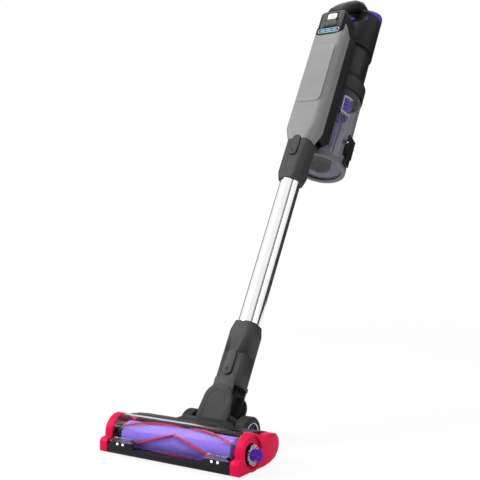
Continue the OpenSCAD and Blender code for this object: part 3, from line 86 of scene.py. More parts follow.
STICK_MATRIX = Matrix.Translation(stick(0, 0, 0)) @ Matrix.Rotation(-LEAN, 4, "X") @ Matrix.Scale(MM, 4)
print("the grip is", round((stick(21, 0, 960.65) - stick(0, 0, 0)).length, 3), "m up the wand")

# %% [markdown]
# Moulded plastic is never one flat colour: it has a fine grain from the mould, and light handling
# marks that change its gloss. One node group makes both, and each material gives it its own sizes.

# %% Node group for moulded plastic
def new_group(name, inputs, outputs):
    group = bpy.data.node_groups.new(name, "ShaderNodeTree")
    for label, value in inputs:
        socket_type = "NodeSocketColor" if isinstance(value, tuple) else "NodeSocketFloat"
        group.interface.new_socket(label, in_out="INPUT", socket_type=socket_type).default_value = value
    for label, socket_type in outputs:
        group.interface.new_socket(label, in_out="OUTPUT", socket_type=socket_type)
    return group, group.nodes.new("NodeGroupInput"), group.nodes.new("NodeGroupOutput")


def add(tree, kind, **settings):
    node = tree.nodes.new(kind)
    for name, value in settings.items():
        setattr(node, name, value)
    return node


def noise(tree, vector, scale, detail=2.0, roughness=0.5):
    node = add(tree, "ShaderNodeTexNoise")
    tree.links.new(vector, node.inputs["Vector"])
    if hasattr(scale, "is_linked"):
        tree.links.new(scale, node.inputs["Scale"])
    else:
        node.inputs["Scale"].default_value = scale
    node.inputs["Detail"].default_value = detail
    node.inputs["Roughness"].default_value = roughness
    return node.outputs["Fac"]


def fit(tree, value, low, high, to_low, to_high):
    """Stretches a mask from low..high to to_low..to_high; each may be a number or a socket."""
    node = add(tree, "ShaderNodeMapRange")
    for i, item in enumerate((value, low, high, to_low, to_high)):
        if hasattr(item, "is_linked"):
            tree.links.new(item, node.inputs[i])
        else:
            node.inputs[i].default_value = item
    return node.outputs[0]


def blend_colour(tree, fac, a, b):
    node = add(tree, "ShaderNodeMix", data_type="RGBA")
    for socket, item in ((node.inputs[0], fac), (node.inputs[6], a), (node.inputs[7], b)):
        if hasattr(item, "is_linked"):
            tree.links.new(item, socket)
        else:
            socket.default_value = item
    return node.outputs[2]


moulded, m_in, m_out = new_group(
    "moulded_plastic",
    [("Color", (0.1, 0.1, 0.1, 1.0)), ("Shade", (0.08, 0.08, 0.08, 1.0)), ("Gloss low", 0.3),
     ("Gloss high", 0.4), ("Grain", 900.0), ("Smudge", 22.0)],
    [("Color", "NodeSocketColor"), ("Roughness", "NodeSocketFloat"), ("Height", "NodeSocketFloat")])
place = add(moulded, "ShaderNodeTexCoord").outputs["Object"]
grain = noise(moulded, place, m_in.outputs["Grain"], 3.0)
smudge = noise(moulded, place, m_in.outputs["Smudge"], 4.0, 0.6)
mask = fit(moulded, smudge, 0.35, 0.65, 0.0, 1.0)
shaded = blend_colour(moulded, mask, m_in.outputs["Shade"], m_in.outputs["Color"])
moulded.links.new(shaded, m_out.inputs["Color"])
gloss = fit(moulded, smudge, 0.3, 0.7, m_in.outputs["Gloss low"], m_in.outputs["Gloss high"])
moulded.links.new(gloss, m_out.inputs["Roughness"])
moulded.links.new(grain, m_out.inputs["Height"])
print("group", moulded.name, "has", len(moulded.nodes), "nodes")

# %% [markdown]
# A finish is a Principled shader fed by that group. What is the same all over, such as the specular
# level, is set on the shader's own socket, so that the exported model keeps it.

# %% Finishes of hard plastic
def new_material(name):
    material = bpy.data.materials.new(name)
    material.use_nodes = True
    tree = material.node_tree
    return material, tree, tree.nodes["Principled BSDF"]


def bump(tree, shader, height, strength, distance):
    node = add(tree, "ShaderNodeBump")
    node.inputs["Strength"].default_value = strength
    node.inputs["Distance"].default_value = distance
    tree.links.new(height, node.inputs["Height"])
    tree.links.new(node.outputs["Normal"], shader.inputs["Normal"])


GRAIN_DEPTH, HANDLED_SHADE = 0.00002, 0.9


def plastic(name, colour, gloss, grain=900.0, strength=0.2, specular=0.5):
    """Moulded plastic: colour, lowest and highest roughness, the grain's scale and strength."""
    material, tree, shader = new_material(name)
    group = add(tree, "ShaderNodeGroup", node_tree=moulded)
    group.inputs["Color"].default_value = (*colour, 1.0)
    group.inputs["Shade"].default_value = (*(c * HANDLED_SHADE for c in colour), 1.0)
    group.inputs["Gloss low"].default_value, group.inputs["Gloss high"].default_value = gloss
    group.inputs["Grain"].default_value = grain
    tree.links.new(group.outputs["Color"], shader.inputs["Base Color"])
    tree.links.new(group.outputs["Roughness"], shader.inputs["Roughness"])
    bump(tree, shader, group.outputs["Height"], strength, GRAIN_DEPTH)
    shader.inputs["Specular IOR Level"].default_value = specular
    return material


casing_grey = plastic("casing_grey", (0.235, 0.235, 0.24), (0.36, 0.46), specular=0.35)
lid_grey = plastic("lid_grey", (0.125, 0.125, 0.13), (0.36, 0.46), specular=0.3)
satin_black = plastic("satin_black", (0.014, 0.014, 0.015), (0.38, 0.48), specular=0.13)
housing_black = plastic("housing_black", (0.020, 0.020, 0.021), (0.36, 0.46), specular=0.16)
satin_dark = plastic("satin_dark_grey", (0.022, 0.022, 0.024), (0.42, 0.52), grain=1200.0,
                     strength=0.35, specular=0.2)
satin_grey = plastic("satin_grey", (0.042, 0.042, 0.044), (0.42, 0.52), grain=1200.0,
                     strength=0.35, specular=0.2)
grained_black = plastic("grained_black", (0.013, 0.013, 0.014), (0.5, 0.62), grain=1500.0,
                        strength=0.5, specular=0.13)
gloss_black = plastic("gloss_black", (0.004, 0.004, 0.005), (0.10, 0.16), strength=0.02, specular=0.2)
violet_plastic = plastic("violet_plastic", (0.17, 0.06, 0.62), (0.25, 0.35), specular=0.2)
crimson_plastic = plastic("crimson_plastic", (0.78, 0.005, 0.068), (0.34, 0.44), strength=0.05,
                          specular=0.06)
white_plastic = plastic("white_plastic", (0.80, 0.80, 0.82), (0.25, 0.35))
hub_plastic = plastic("hub_plastic", (0.075, 0.05, 0.20), (0.25, 0.35), specular=0.3)
tyre_rubber = plastic("tyre_rubber", (0.010, 0.010, 0.011), (0.55, 0.7), grain=1800.0, strength=0.5,
                      specular=0.25)
print("materials so far:", [m.name for m in bpy.data.materials if m.use_nodes])

# %% [markdown]
# The wand is bright drawn aluminium. Drawing leaves hairline streaks along its length, so its noise
# is squeezed across the tube and long along it. The same group serves steel, at another size.

# %% Finishes of metal
streaks, s_in, s_out = new_group(
    "drawn_streaks", [("Turn", 0.0), ("Across", 1400.0), ("Along", 9.0)],
    [("Streak", "NodeSocketFloat"), ("Patch", "NodeSocketFloat")])
place = add(streaks, "ShaderNodeTexCoord").outputs["Object"]
turn = add(streaks, "ShaderNodeVectorRotate", rotation_type="X_AXIS")
streaks.links.new(place, turn.inputs["Vector"])
streaks.links.new(s_in.outputs["Turn"], turn.inputs["Angle"])
stretch = add(streaks, "ShaderNodeVectorMath", operation="MULTIPLY")
size = add(streaks, "ShaderNodeCombineXYZ")
for axis, label in (("X", "Across"), ("Y", "Across"), ("Z", "Along")):
    streaks.links.new(s_in.outputs[label], size.inputs[axis])
streaks.links.new(turn.outputs["Vector"], stretch.inputs[0])
streaks.links.new(size.outputs[0], stretch.inputs[1])
streaks.links.new(noise(streaks, stretch.outputs[0], 1.0, 2.0), s_out.inputs["Streak"])
streaks.links.new(noise(streaks, place, 14.0, 3.0), s_out.inputs["Patch"])


STREAK_STRENGTH, DULL = 0.08, 0.93


def metal(name, colour, gloss, turn=0.0, fine=1400.0, drawn=9.0):
    """Streaked metal: `fine` is the streaks' scale across them, and `drawn` the scale along them."""
    material, tree, shader = new_material(name)
    group = add(tree, "ShaderNodeGroup", node_tree=streaks)
    group.inputs["Turn"].default_value = turn
    group.inputs["Across"].default_value, group.inputs["Along"].default_value = fine, drawn
    dull = tuple(c * DULL for c in colour)
    patchy = blend_colour(tree, group.outputs["Patch"], (*dull, 1.0), (*colour, 1.0))
    tree.links.new(patchy, shader.inputs["Base Color"])
    tree.links.new(fit(tree, group.outputs["Streak"], 0.3, 0.7, *gloss), shader.inputs["Roughness"])
    bump(tree, shader, group.outputs["Streak"], STREAK_STRENGTH, GRAIN_DEPTH / 2)
    shader.inputs["Metallic"].default_value = 1.0
    return material


wand_metal = metal("wand_aluminium", (0.90, 0.905, 0.92), (0.12, 0.18), turn=LEAN)
steel = metal("turned_steel", (0.58, 0.59, 0.61), (0.22, 0.34), fine=300.0, drawn=60.0)
print("metals:", wand_metal.name, steel.name)

# %% [markdown]
# The bin, the cyclone's tube and the brush window are clear plastic with a tint. Clear plastic keeps
# a plain transmission of 1, and only its tint, gloss and fine dust marks come from nodes.

# %% Finishes of clear plastic
def clear(name, colour, gloss, dust, ior=1.45, strength=0.1):
    """Clear plastic: tint, lowest and highest roughness, and the tint's share where dust lies."""
    material, tree, shader = new_material(name)
    group = add(tree, "ShaderNodeGroup", node_tree=moulded)
    group.inputs["Color"].default_value = (*colour, 1.0)
    group.inputs["Shade"].default_value = (*(c * dust for c in colour), 1.0)
    group.inputs["Gloss low"].default_value, group.inputs["Gloss high"].default_value = gloss
    tree.links.new(group.outputs["Color"], shader.inputs["Base Color"])
    tree.links.new(group.outputs["Roughness"], shader.inputs["Roughness"])
    bump(tree, shader, group.outputs["Height"], strength, GRAIN_DEPTH / 2)
    shader.inputs["Transmission Weight"].default_value = 1.0
    shader.inputs["IOR"].default_value = ior
    return material


smoke_lid = clear("smoke_lid", (0.50, 0.47, 0.60), (0.03, 0.06), 0.93, ior=1.3)
smoke_clear = clear("smoke_clear", (0.76, 0.76, 0.80), (0.02, 0.05), 0.95, ior=1.3, strength=0.02)
lavender_clear = clear("lavender_clear", (0.68, 0.60, 0.90), (0.12, 0.22), 0.85)
window_clear = clear("window_clear", (0.90, 0.89, 0.95), (0.01, 0.04), 0.96, ior=1.14)

# The bin's wall carries painted shade: dark grey on its far side, and violet towards its left; both are
# fitted in metres
tree, shader = smoke_clear.node_tree, smoke_clear.node_tree.nodes["Principled BSDF"]
place = add(tree, "ShaderNodeTexCoord").outputs["Object"]
axes = add(tree, "ShaderNodeSeparateXYZ")
tree.links.new(place, axes.inputs[0])
behind = add(tree, "ShaderNodeVectorMath", operation="DOT_PRODUCT")
tree.links.new(place, behind.inputs[0])
behind.inputs[1].default_value = along(0, 1, 0)
bin_middle = stick(0, POD_N, 0).dot(along(0, 1, 0))
clear_tint = shader.inputs["Base Color"].links[0].from_socket
# Painted violet shade: the wall turns violet towards its left
painted_violet_shade_mask = fit(tree, axes.outputs["X"], -0.045, -0.01, 1.0, 0.0)
tint = blend_colour(tree, painted_violet_shade_mask, clear_tint, (0.40, 0.34, 0.62, 1.0))
# Painted shade: the wall behind the bin's axis turns dark grey
painted_far_shade_mask = fit(tree, behind.outputs["Value"], bin_middle - 0.004, bin_middle + 0.016, 0.0, 1.0)
tint = blend_colour(tree, painted_far_shade_mask, tint, (0.17, 0.17, 0.19, 1.0))
tree.links.new(tint, shader.inputs["Base Color"])

lens_clear = clear("lens_clear", (0.90, 0.90, 0.95), (0.04, 0.10), 0.95)
clear_plastics = (smoke_lid, smoke_clear, lavender_clear, window_clear, lens_clear)
print("clear plastics:", [material.name for material in clear_plastics])

# %% [markdown]
# Small lights glow a little by themselves. Their glow stays close to a plain colour, so that they
# read as lit segments and lamps, and don't light the floor.

# %% Finishes that glow, and the rest
def glowing(name, colour, level):
    material = plastic(name, colour, (0.2, 0.3))
    shader = material.node_tree.nodes["Principled BSDF"]
    shader.inputs["Emission Color"].default_value = (*colour, 1.0)
    shader.inputs["Emission Strength"].default_value = level
    return material


cyan_light = glowing("cyan_light", (0.03, 0.28, 0.44), 0.32)
lamp_white = glowing("lamp_white", (0.95, 0.95, 0.98), 0.8)
FIBRE_GRAIN, FIBRE_MOTTLE_SCALE, FIBRE_SHEEN = 700.0, 120.0, 0.4


def fibre(name, colour, dark):
    """Dense pile with a soft sheen, mottled at random: painted shade between fibres, painted light on
    tips.
    """
    material, tree, shader = new_material(name)
    group = add(tree, "ShaderNodeGroup", node_tree=moulded)
    group.inputs["Color"].default_value = (*colour, 1.0)
    # The dark colour is painted shade between the fibres, mottled in at random
    group.inputs["Shade"].default_value = (*dark, 1.0)
    group.inputs["Gloss low"].default_value, group.inputs["Gloss high"].default_value = 0.7, 0.9
    group.inputs["Grain"].default_value = FIBRE_GRAIN
    group.inputs["Smudge"].default_value = FIBRE_MOTTLE_SCALE
    tree.links.new(group.outputs["Color"], shader.inputs["Base Color"])
    tree.links.new(group.outputs["Roughness"], shader.inputs["Roughness"])
    bump(tree, shader, group.outputs["Height"], 0.6, 0.0004)
    shader.inputs["Sheen Weight"].default_value = FIBRE_SHEEN
    shader.inputs["Sheen Roughness"].default_value = FIBRE_SHEEN
    return material


violet_pile = fibre("violet_pile", (0.36, 0.24, 0.95), (0.20, 0.10, 0.62))
crimson_pile = fibre("crimson_pile", (0.74, 0.02, 0.10), (0.46, 0.005, 0.05))
purple_tuft = fibre("purple_tuft", (0.20, 0.03, 0.86), (0.10, 0.02, 0.50))
white_fibre = plastic("white_fibre", (0.86, 0.85, 0.90), (0.4, 0.5), strength=0.05)
fleece = fibre("fleece_white", (0.80, 0.78, 0.85), (0.66, 0.64, 0.72))
cell_wrap = plastic("cell_wrap", (0.03, 0.12, 0.36), (0.3, 0.4))
board_green = plastic("board_green", (0.01, 0.10, 0.04), (0.4, 0.5))
print(len(bpy.data.materials), "materials in all")

# %% [markdown]
# Each CAD node now takes its finish. The nodes' meshes stay as they are: only their material slots
# change. A table from finish to nodes keeps this in one place.

# %% Give each node its finish
finish_of = {
    casing_grey: ["front_casing"],
    lid_grey: ["bin_lid"],
    satin_black: ["handle_arch", "pod_shroud", "motor_housing", "bin_latch", "edge_brush", "intake_duct"],
    housing_black: ["head_housing"],
    grained_black: ["rear_frame", "head_base", "battery_tray"],
    satin_dark: ["yoke", "yoke_inlay", "swivel_cover", "bin_band", "lid_boss"],
    satin_grey: ["collar", "collar_rim", "upper_neck", "wand_button", "neck_button"],
    gloss_black: ["control_panel"],
    violet_plastic: ["filter_cap", "filter_release", "cyclone_fins"],
    crimson_plastic: ["left_cap", "right_cap"],
    white_plastic: ["power_button"],
    hub_plastic: ["left_hub", "right_hub"],
    tyre_rubber: ["left_tyre", "right_tyre", "grip_pad", "duct_hose", "drive_belt"],
    wand_metal: ["wand_tube"],
    steel: ["suction_motor", "impeller", "lid_hinge_pin", "latch_pin", "swivel_pins", "brush_motor",
            "motor_pulley", "brush_pulley", "wheel_axle", "sole_screws"],
    smoke_clear: ["bin_shell"],
    smoke_lid: ["lid_window"],
    lavender_clear: ["cyclone_tube"],
    window_clear: ["roller_window"],
    lens_clear: ["lamp_guides"],
    cyan_light: ["battery_lights"],
    lamp_white: ["head_lamps"],
    violet_pile: ["brush_core"],
    crimson_pile: ["bristle_strips"],
    purple_tuft: ["edge_bristles"],
    fleece: ["filter_element"],
    cell_wrap: ["battery_cells"],
    board_green: ["control_board"],
}
for finish, names in finish_of.items():
    for name in names:
        mesh = nodes[name].data
        mesh.materials.clear()
        mesh.materials.append(finish)
left = sorted(set(nodes) - {name for names in finish_of.values() for name in names})
print("nodes without a finish:", left)

# %% [markdown]
# Real mouldings have no knife edges: every rim is rounded by half a millimetre or more, and that
# thin round is what catches the light. The CAD solids are sharp, so each visible one is copied, its
# loose triangles are merged and flattened into faces again, and a Bevel modifier rounds its edges.

# %% Helper: a copy of a CAD node with rounded edges
def only(piece):
    """Selects one object and nothing else."""
    bpy.ops.object.select_all(action="DESELECT")
    piece.select_set(True)
    bpy.context.view_layer.objects.active = piece


def apply_all(piece):
    only(piece)
    for modifier in list(piece.modifiers):
        bpy.ops.object.modifier_apply(modifier=modifier.name)


bodies = frame["record"]["behaviour"]["bodies"]
body_of_node = {node: body for body, members in bodies.items() for node in members}
WELD, FLAT_ANGLE = 0.00001, math.radians(1.2)
EDGE_SEGMENTS, EDGE_ANGLE, SMOOTH_ANGLE = 3, math.radians(28), 40


def softened(node, width):
    """A copy of a node's mesh with its edges rounded by `width` millimetres; it replaces the node."""
    piece = bpy.data.objects.new(node + "_moulded", nodes[node].data.copy())
    bpy.context.scene.collection.objects.link(piece)
    only(piece)
    bpy.ops.object.mode_set(mode="EDIT")
    bpy.ops.mesh.select_all(action="SELECT")
    bpy.ops.mesh.remove_doubles(threshold=WELD)
    bpy.ops.mesh.dissolve_limited(angle_limit=FLAT_ANGLE)
    bpy.ops.object.mode_set(mode="OBJECT")
    if piece.data.has_custom_normals:
        bpy.ops.mesh.customdata_custom_splitnormals_clear()
    bevel = piece.modifiers.new("edges", "BEVEL")
    bevel.width, bevel.segments = width * MM, EDGE_SEGMENTS
    bevel.limit_method, bevel.angle_limit = "ANGLE", EDGE_ANGLE
    bevel.use_clamp_overlap = True
    bevel.harden_normals = False
    apply_all(piece)
    bpy.ops.object.shade_smooth_by_angle(angle=math.radians(SMOOTH_ANGLE))
    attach(piece, body_of_node[node])
    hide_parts(node)
    return piece


for node, width in (("collar", 0.8), ("upper_neck", 0.8), ("yoke", 0.9), ("handle_arch", 1.0),
                    ("pod_shroud", 0.7), ("motor_housing", 0.7), ("bin_band", 0.8), ("head_base", 0.6),
                    ("head_housing", 0.7), ("left_cap", 0.7), ("right_cap", 0.7), ("control_panel", 0.6),
                    ("filter_cap", 1.0), ("bin_lid", 0.7), ("bin_latch", 0.7), ("swivel_cover", 0.8),
                    ("wand_button", 0.6), ("neck_button", 0.6), ("rear_frame", 0.8),
                    ("power_button", 0.3)):
    piece = softened(node, width)
    print(f"{piece.name}: {len(piece.data.polygons)} faces")

# %% [markdown]
# Turned pieces, such as rollers, rings and hoses, are drawn as a line and spun round their axis. The
# line is drawn as by hand: a plane is merged into one point, and that point is extruded from place
# to place. Spun edges meet at the seam, so doubles are merged and the faces turned outwards.

# %% Helpers: draw a line, spin it, finish a piece
def edit(piece):
    only(piece)
    bpy.ops.object.mode_set(mode="EDIT")
    bpy.ops.mesh.select_all(action="SELECT")


def outline(name, points, closed=False):
    """Draws a line through `points`; `closed` joins its ends and fills it with a face."""
    bpy.ops.object.select_all(action="DESELECT")
    bpy.ops.mesh.primitive_plane_add(size=0.01, location=points[0])
    piece = bpy.context.object
    piece.name = piece.data.name = name
    edit(piece)
    bpy.ops.mesh.merge(type="CENTER")
    for here, there in zip(points, points[1:]):
        bpy.ops.mesh.extrude_region_move(TRANSFORM_OT_translate={"value": tuple(there - here)})
    if closed:
        bpy.ops.mesh.select_all(action="SELECT")
        bpy.ops.mesh.edge_face_add()
    bpy.ops.object.mode_set(mode="OBJECT")
    bpy.ops.object.transform_apply(location=True, rotation=False, scale=False)
    return piece


def closed_up(piece):
    """Merges the corners at a seam and turns the faces outwards."""
    edit(piece)
    bpy.ops.mesh.remove_doubles(threshold=WELD / 2)
    bpy.ops.mesh.normals_make_consistent(inside=False)
    bpy.ops.object.mode_set(mode="OBJECT")


def turned(name, points, centre, axis, steps=64, ring=False):
    """Spins a line through `points` all the way round; `ring` joins its two ends first."""
    piece = outline(name, points, closed=ring)
    edit(piece)
    if ring:
        bpy.ops.mesh.delete(type="ONLY_FACE")
        bpy.ops.mesh.select_all(action="SELECT")
    bpy.ops.mesh.spin(steps=steps, angle=2 * math.pi, center=centre, axis=axis)
    bpy.ops.object.mode_set(mode="OBJECT")
    closed_up(piece)
    return piece


def finished(piece, finish, body, *replaced, smooth=SMOOTH_ANGLE):
    """Gives a new piece its finish and shading, and lets it ride on `body` in place of nodes."""
    only(piece)
    piece.data.materials.clear()
    piece.data.materials.append(finish)
    bpy.ops.object.shade_smooth_by_angle(angle=math.radians(smooth))
    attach(piece, body)
    if replaced:
        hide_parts(*replaced)
    print(f"{piece.name}: {len(piece.data.polygons)} faces, on {body}")
    return piece


def joined(name, pieces):
    bpy.ops.object.select_all(action="DESELECT")
    for piece in pieces:
        piece.select_set(True)
    bpy.context.view_layer.objects.active = pieces[0]
    bpy.ops.object.join()
    pieces[0].name = pieces[0].data.name = name
    return pieces[0]


# %% [markdown]
# The roller is a core wrapped in dense violet pile, with four crimson strips that run out from the
# middle in a V. The pile's skin is spun in many narrow steps, and a Displace modifier with a fine
# cloud pattern ruffles it, so that it reads as cut fibres and not as a smooth tube.

# %% The roller's pile
BRUSH_Y, BRUSH_Z, BRUSH_R, BRUSH_HALF = -106.4, 27.5, 21.5, 106.0
STRIP_START, STRIP_SWEEP, STRIPS, STRIP_H = 48.0, 85.0, 4, 3.5
brush_middle = room(0, BRUSH_Y, BRUSH_Z)


def ruffle(piece, size, depth, name):
    """Pushes a surface in and out by a cloud pattern; size and depth are in millimetres."""
    texture = bpy.data.textures.new(name, "CLOUDS")
    texture.noise_scale, texture.noise_depth = size * MM, 2
    displace = piece.modifiers.new("ruffle", "DISPLACE")
    displace.texture, displace.texture_coords = texture, "LOCAL"
    displace.strength, displace.mid_level = depth * MM, 0.5
    apply_all(piece)


PILE_STEPS, PILE_END, BORE_R = 160, 1.5, 4.1


def over_axis(x, radius):
    """A place straight above the roller's axis."""
    return room(x, BRUSH_Y, BRUSH_Z + radius)


skin = [over_axis(-BRUSH_HALF, BORE_R), over_axis(-BRUSH_HALF, BRUSH_R - PILE_END)]
for i in range(PILE_STEPS + 1):
    skin.append(over_axis(-BRUSH_HALF + 1 + (2 * BRUSH_HALF - 2) * i / PILE_STEPS, BRUSH_R))
skin += [over_axis(BRUSH_HALF, BRUSH_R - PILE_END), over_axis(BRUSH_HALF, BORE_R)]
pile = turned("roller_pile", skin, brush_middle, (1, 0, 0), steps=144, ring=True)
ruffle(pile, 1.6, 1.1, "pile_ruffle")

# %% Finish of the pile: a fine random mottle with painted light on the fibre tips, and a painted shadow beside each strip
pile_violet, tree, shader = new_material("pile_violet")
place = add(tree, "ShaderNodeTexCoord").outputs["Object"]


def math_node(tree, operation, a, b=None):
    node = add(tree, "ShaderNodeMath", operation=operation)
    for socket, item in zip(node.inputs, (a, b)):
        if hasattr(item, "is_linked"):
            tree.links.new(item, socket)
        elif item is not None:
            socket.default_value = item
    return node.outputs[0]


axes = add(tree, "ShaderNodeSeparateXYZ")
tree.links.new(place, axes.inputs[0])
forward = math_node(tree, "SUBTRACT", brush_middle.y, axes.outputs["Y"])
upward = math_node(tree, "SUBTRACT", axes.outputs["Z"], brush_middle.z)
turn_now = math_node(tree, "ARCTAN2", forward, upward)
out_from_middle = math_node(tree, "ABSOLUTE", axes.outputs["X"])
lead = math.radians(STRIP_SWEEP) / (BRUSH_HALF * MM)
past_strip = math_node(tree, "SUBTRACT", turn_now, math_node(tree, "MULTIPLY", out_from_middle, lead))
past_strip = math_node(tree, "SUBTRACT", past_strip, math.radians(STRIP_START))
past_strip = math_node(tree, "WRAP", past_strip, math.radians(180 / STRIPS))
past_strip.node.inputs[2].default_value = math.radians(-180 / STRIPS)
# Painted shadow: a band of pile beside each crimson strip is darkened towards deep violet
painted_strip_shadow = math_node(tree, "MULTIPLY", fit(tree, past_strip, math.radians(4), math.radians(30), 1.0, 0.0),
                   fit(tree, past_strip, math.radians(-9), math.radians(-2), 0.0, 1.0))
fibres = noise(tree, place, 1500.0, 3.0, 0.6)
tufts = noise(tree, place, 160.0, 3.0, 0.6)
# Painted light: a fine random mottle is paler on the fibre tips, and larger random tufts are a little
# darker
tips = blend_colour(tree, fit(tree, fibres, 0.3, 0.7, 0.0, 1.0), (0.22, 0.135, 0.62, 1.0),
                    (0.42, 0.29, 0.90, 1.0))
tips = blend_colour(tree, fit(tree, tufts, 0.35, 0.65, 0.25, 0.0), tips, (0.16, 0.09, 0.50, 1.0))
tree.links.new(blend_colour(tree, math_node(tree, "MULTIPLY", painted_strip_shadow, 0.8), tips, (0.10, 0.07, 0.30, 1.0)),
               shader.inputs["Base Color"])
tree.links.new(fit(tree, fibres, 0.3, 0.7, 0.85, 0.7), shader.inputs["Roughness"])
bump(tree, shader, fibres, 0.5, 0.0003)
shader.inputs["Specular IOR Level"].default_value = 0.1
finished(pile, pile_violet, "roller", "brush_core", smooth=80)

# %% [markdown]
# A strip is a soft crimson rib of dense fibres. Its section is drawn at the middle of the roll and
# carried out to the end in rows, each of them turned a little further round the roll. The same
# towards the other end makes the V.

# %% The crimson strips
def strip_half(start, side):
    """Half a strip, from the middle of the roll to its end; side is 1 right, -1 left."""
    # Half width and radius of the rib's foot, flank and crest
    foot, flank = (1.9, BRUSH_R - 1.5), (1.52, BRUSH_R + STRIP_H * 0.6)
    crest = (0.7, BRUSH_R + STRIP_H - 0.2)
    section = [(-y, z) for y, z in (foot, flank, crest)] + [crest, flank, foot]
    rib = outline("strip", [room(0, BRUSH_Y - y, BRUSH_Z + z) for y, z in section], closed=True)
    rows, reach = 56, (BRUSH_HALF - 2) * MM
    edit(rib)
    for _ in range(rows):
        bpy.ops.mesh.extrude_region_move(TRANSFORM_OT_translate={"value": (side * reach / rows, 0, 0)})
    bpy.ops.object.mode_set(mode="OBJECT")
    for vertex in rib.data.vertices:
        turn = math.radians(start + STRIP_SWEEP * abs(vertex.co.x) / reach)
        offset = vertex.co - brush_middle
        vertex.co = brush_middle + Matrix.Rotation(turn, 4, "X") @ offset
    closed_up(rib)
    return rib


halves = []
for number in range(STRIPS):
    for side in (1, -1):
        halves.append(strip_half(STRIP_START + number * 360 / STRIPS, side))
strips = joined("roller_strips", halves)
finished(strips, crimson_pile, "roller", "bristle_strips", smooth=50)

# %% [markdown]
# At the right end an edge brush turns with the roller: a ring of short white bristles in the cap's
# dish, and round a purple hub a loose tuft of thin fibres that sweeps along skirting boards. One
# fibre is a thin cone of six sides, copied round with small seeded differences.

# %% The edge brush
draw = random.Random(7)
HUB_X, HUB_R, BRISTLE_FOOT_R = 131.4, 7.6, 7.0
BRISTLES, FIBRES, TUFT_END = 20, 110, 148.0


def fibre_piece(foot, tip, thick, end):
    """A thin six-sided fibre from `foot` to `tip`, in millimetres of the floor head.

    Its radius is `thick` at the foot, and that times `end` at the tip.
    """
    foot, tip = room(*foot), room(*tip)
    length = (tip - foot).length
    bpy.ops.object.select_all(action="DESELECT")
    bpy.ops.mesh.primitive_cone_add(vertices=6, radius1=thick * MM, radius2=thick * end * MM, depth=length,
                                    location=(0, 0, 0), end_fill_type="NGON")
    piece = bpy.context.object
    turn = (tip - foot).to_track_quat("Z", "Y").to_matrix().to_4x4()
    piece.data.transform(Matrix.Translation((foot + tip) / 2) @ turn)
    return piece


def around(x, radius, angle):
    """A place round the roller's axis, for `fibre_piece`."""
    return x, BRUSH_Y + radius * math.cos(angle), BRUSH_Z + radius * math.sin(angle)


white_bristles = []
for i in range(BRISTLES):
    angle = 2 * math.pi * i / BRISTLES + draw.uniform(-0.04, 0.04)
    tip = around(HUB_X + draw.uniform(2.6, 4.0), draw.uniform(15.0, 16.6), angle)
    white_bristles.append(fibre_piece(around(HUB_X - 0.6, BRISTLE_FOOT_R, angle), tip, 0.9, 0.9))
white_ring = joined("edge_white_bristles", white_bristles)
finished(white_ring, white_fibre, "roller")

purple_fibres = []
for _ in range(FIBRES):
    angle, radius = draw.uniform(0, 2 * math.pi), HUB_R * math.sqrt(draw.uniform(0.02, 1.0))
    spread = 1.0 + draw.uniform(0.12, 0.5)
    reach = TUFT_END - draw.uniform(0.0, 5.0)
    swirl = angle + draw.uniform(-0.18, 0.18)
    tip = around(reach, radius * spread, swirl)
    purple_fibres.append(fibre_piece(around(HUB_X, radius, angle), tip, 0.62, 0.45))
tuft = joined("edge_tuft", purple_fibres)
finished(tuft, purple_tuft, "roller", "edge_bristles")

# %% [markdown]
# The grey body carries a wide raised pad on its front: a long ramp at the top, and a rounded fall at
# the foot. Its edges are rounded like the others, and the pad is drawn out a little further, so that
# the ramp catches the light from above and the foot falls into shade. Weighted normals keep the wide
# faces even.

# %% Raised pad on the grey body
STICK_INVERSE = STICK_MATRIX.inverted()
BODY_FRONT, PAD_LOW, PAD_HIGH, PAD_HALF = -24.5, 664.0, 817.0, 28.0
PAD_GROWTH = 1.35


def select_faces(piece, wanted):
    """Selects the faces whose centre, measured along the wand, passes `wanted`."""
    bpy.ops.object.mode_set(mode="OBJECT")
    count = 0
    for vertex in piece.data.vertices:
        vertex.select = False
    for edge in piece.data.edges:
        edge.select = False
    for face in piece.data.polygons:
        face.select = wanted(STICK_INVERSE @ face.center)
        count += face.select
    bpy.ops.object.mode_set(mode="EDIT")
    bpy.ops.mesh.select_mode(type="FACE")
    return count


def plate_points(points, n):
    """Pairs of across and up the wand, as places at the depth n."""
    return [stick(x, n, t) for x, t in points]


casing = softened("front_casing", 0.9)
moved = 0
for vertex in casing.data.vertices:
    at = STICK_INVERSE @ vertex.co
    proud = BODY_FRONT - at.y
    if proud > 0.1 and abs(at.x) < PAD_HALF and PAD_LOW < at.z < PAD_HIGH:
        vertex.co = stick(at.x, BODY_FRONT - proud * PAD_GROWTH, at.z)
        moved += 1
even = casing.modifiers.new("even_faces", "WEIGHTED_NORMAL")
even.keep_sharp = True
apply_all(casing)
print(casing.name, "has", len(casing.data.polygons), "faces, of which the pad has", moved, "corners")

# %% [markdown]
# The neck is a split moulding: a fine seam runs round it. The groove is cut as by hand: two bisects
# mark its edges, and the faces between them are pushed inwards.

# %% Seam round the neck
def groove(piece, t, beyond, width=0.7, depth=0.45):
    """Cuts a groove round `piece` at the height t; faces nearer the axis than `beyond` stay."""
    edit(piece)
    for height in (t, t + width):
        bpy.ops.mesh.select_all(action="SELECT")
        bpy.ops.mesh.bisect(plane_co=stick(0, 0, height), plane_no=along(0, 0, 1))
    count = select_faces(piece, lambda at: t < at.z < t + width and math.hypot(at.x, at.y) > beyond)
    bpy.ops.mesh.extrude_region_shrink_fatten(TRANSFORM_OT_shrink_fatten={"value": -depth * MM})
    bpy.ops.mesh.select_mode(type="VERT")
    bpy.ops.object.mode_set(mode="OBJECT")
    print(piece.name, "has a seam of", count, "faces")


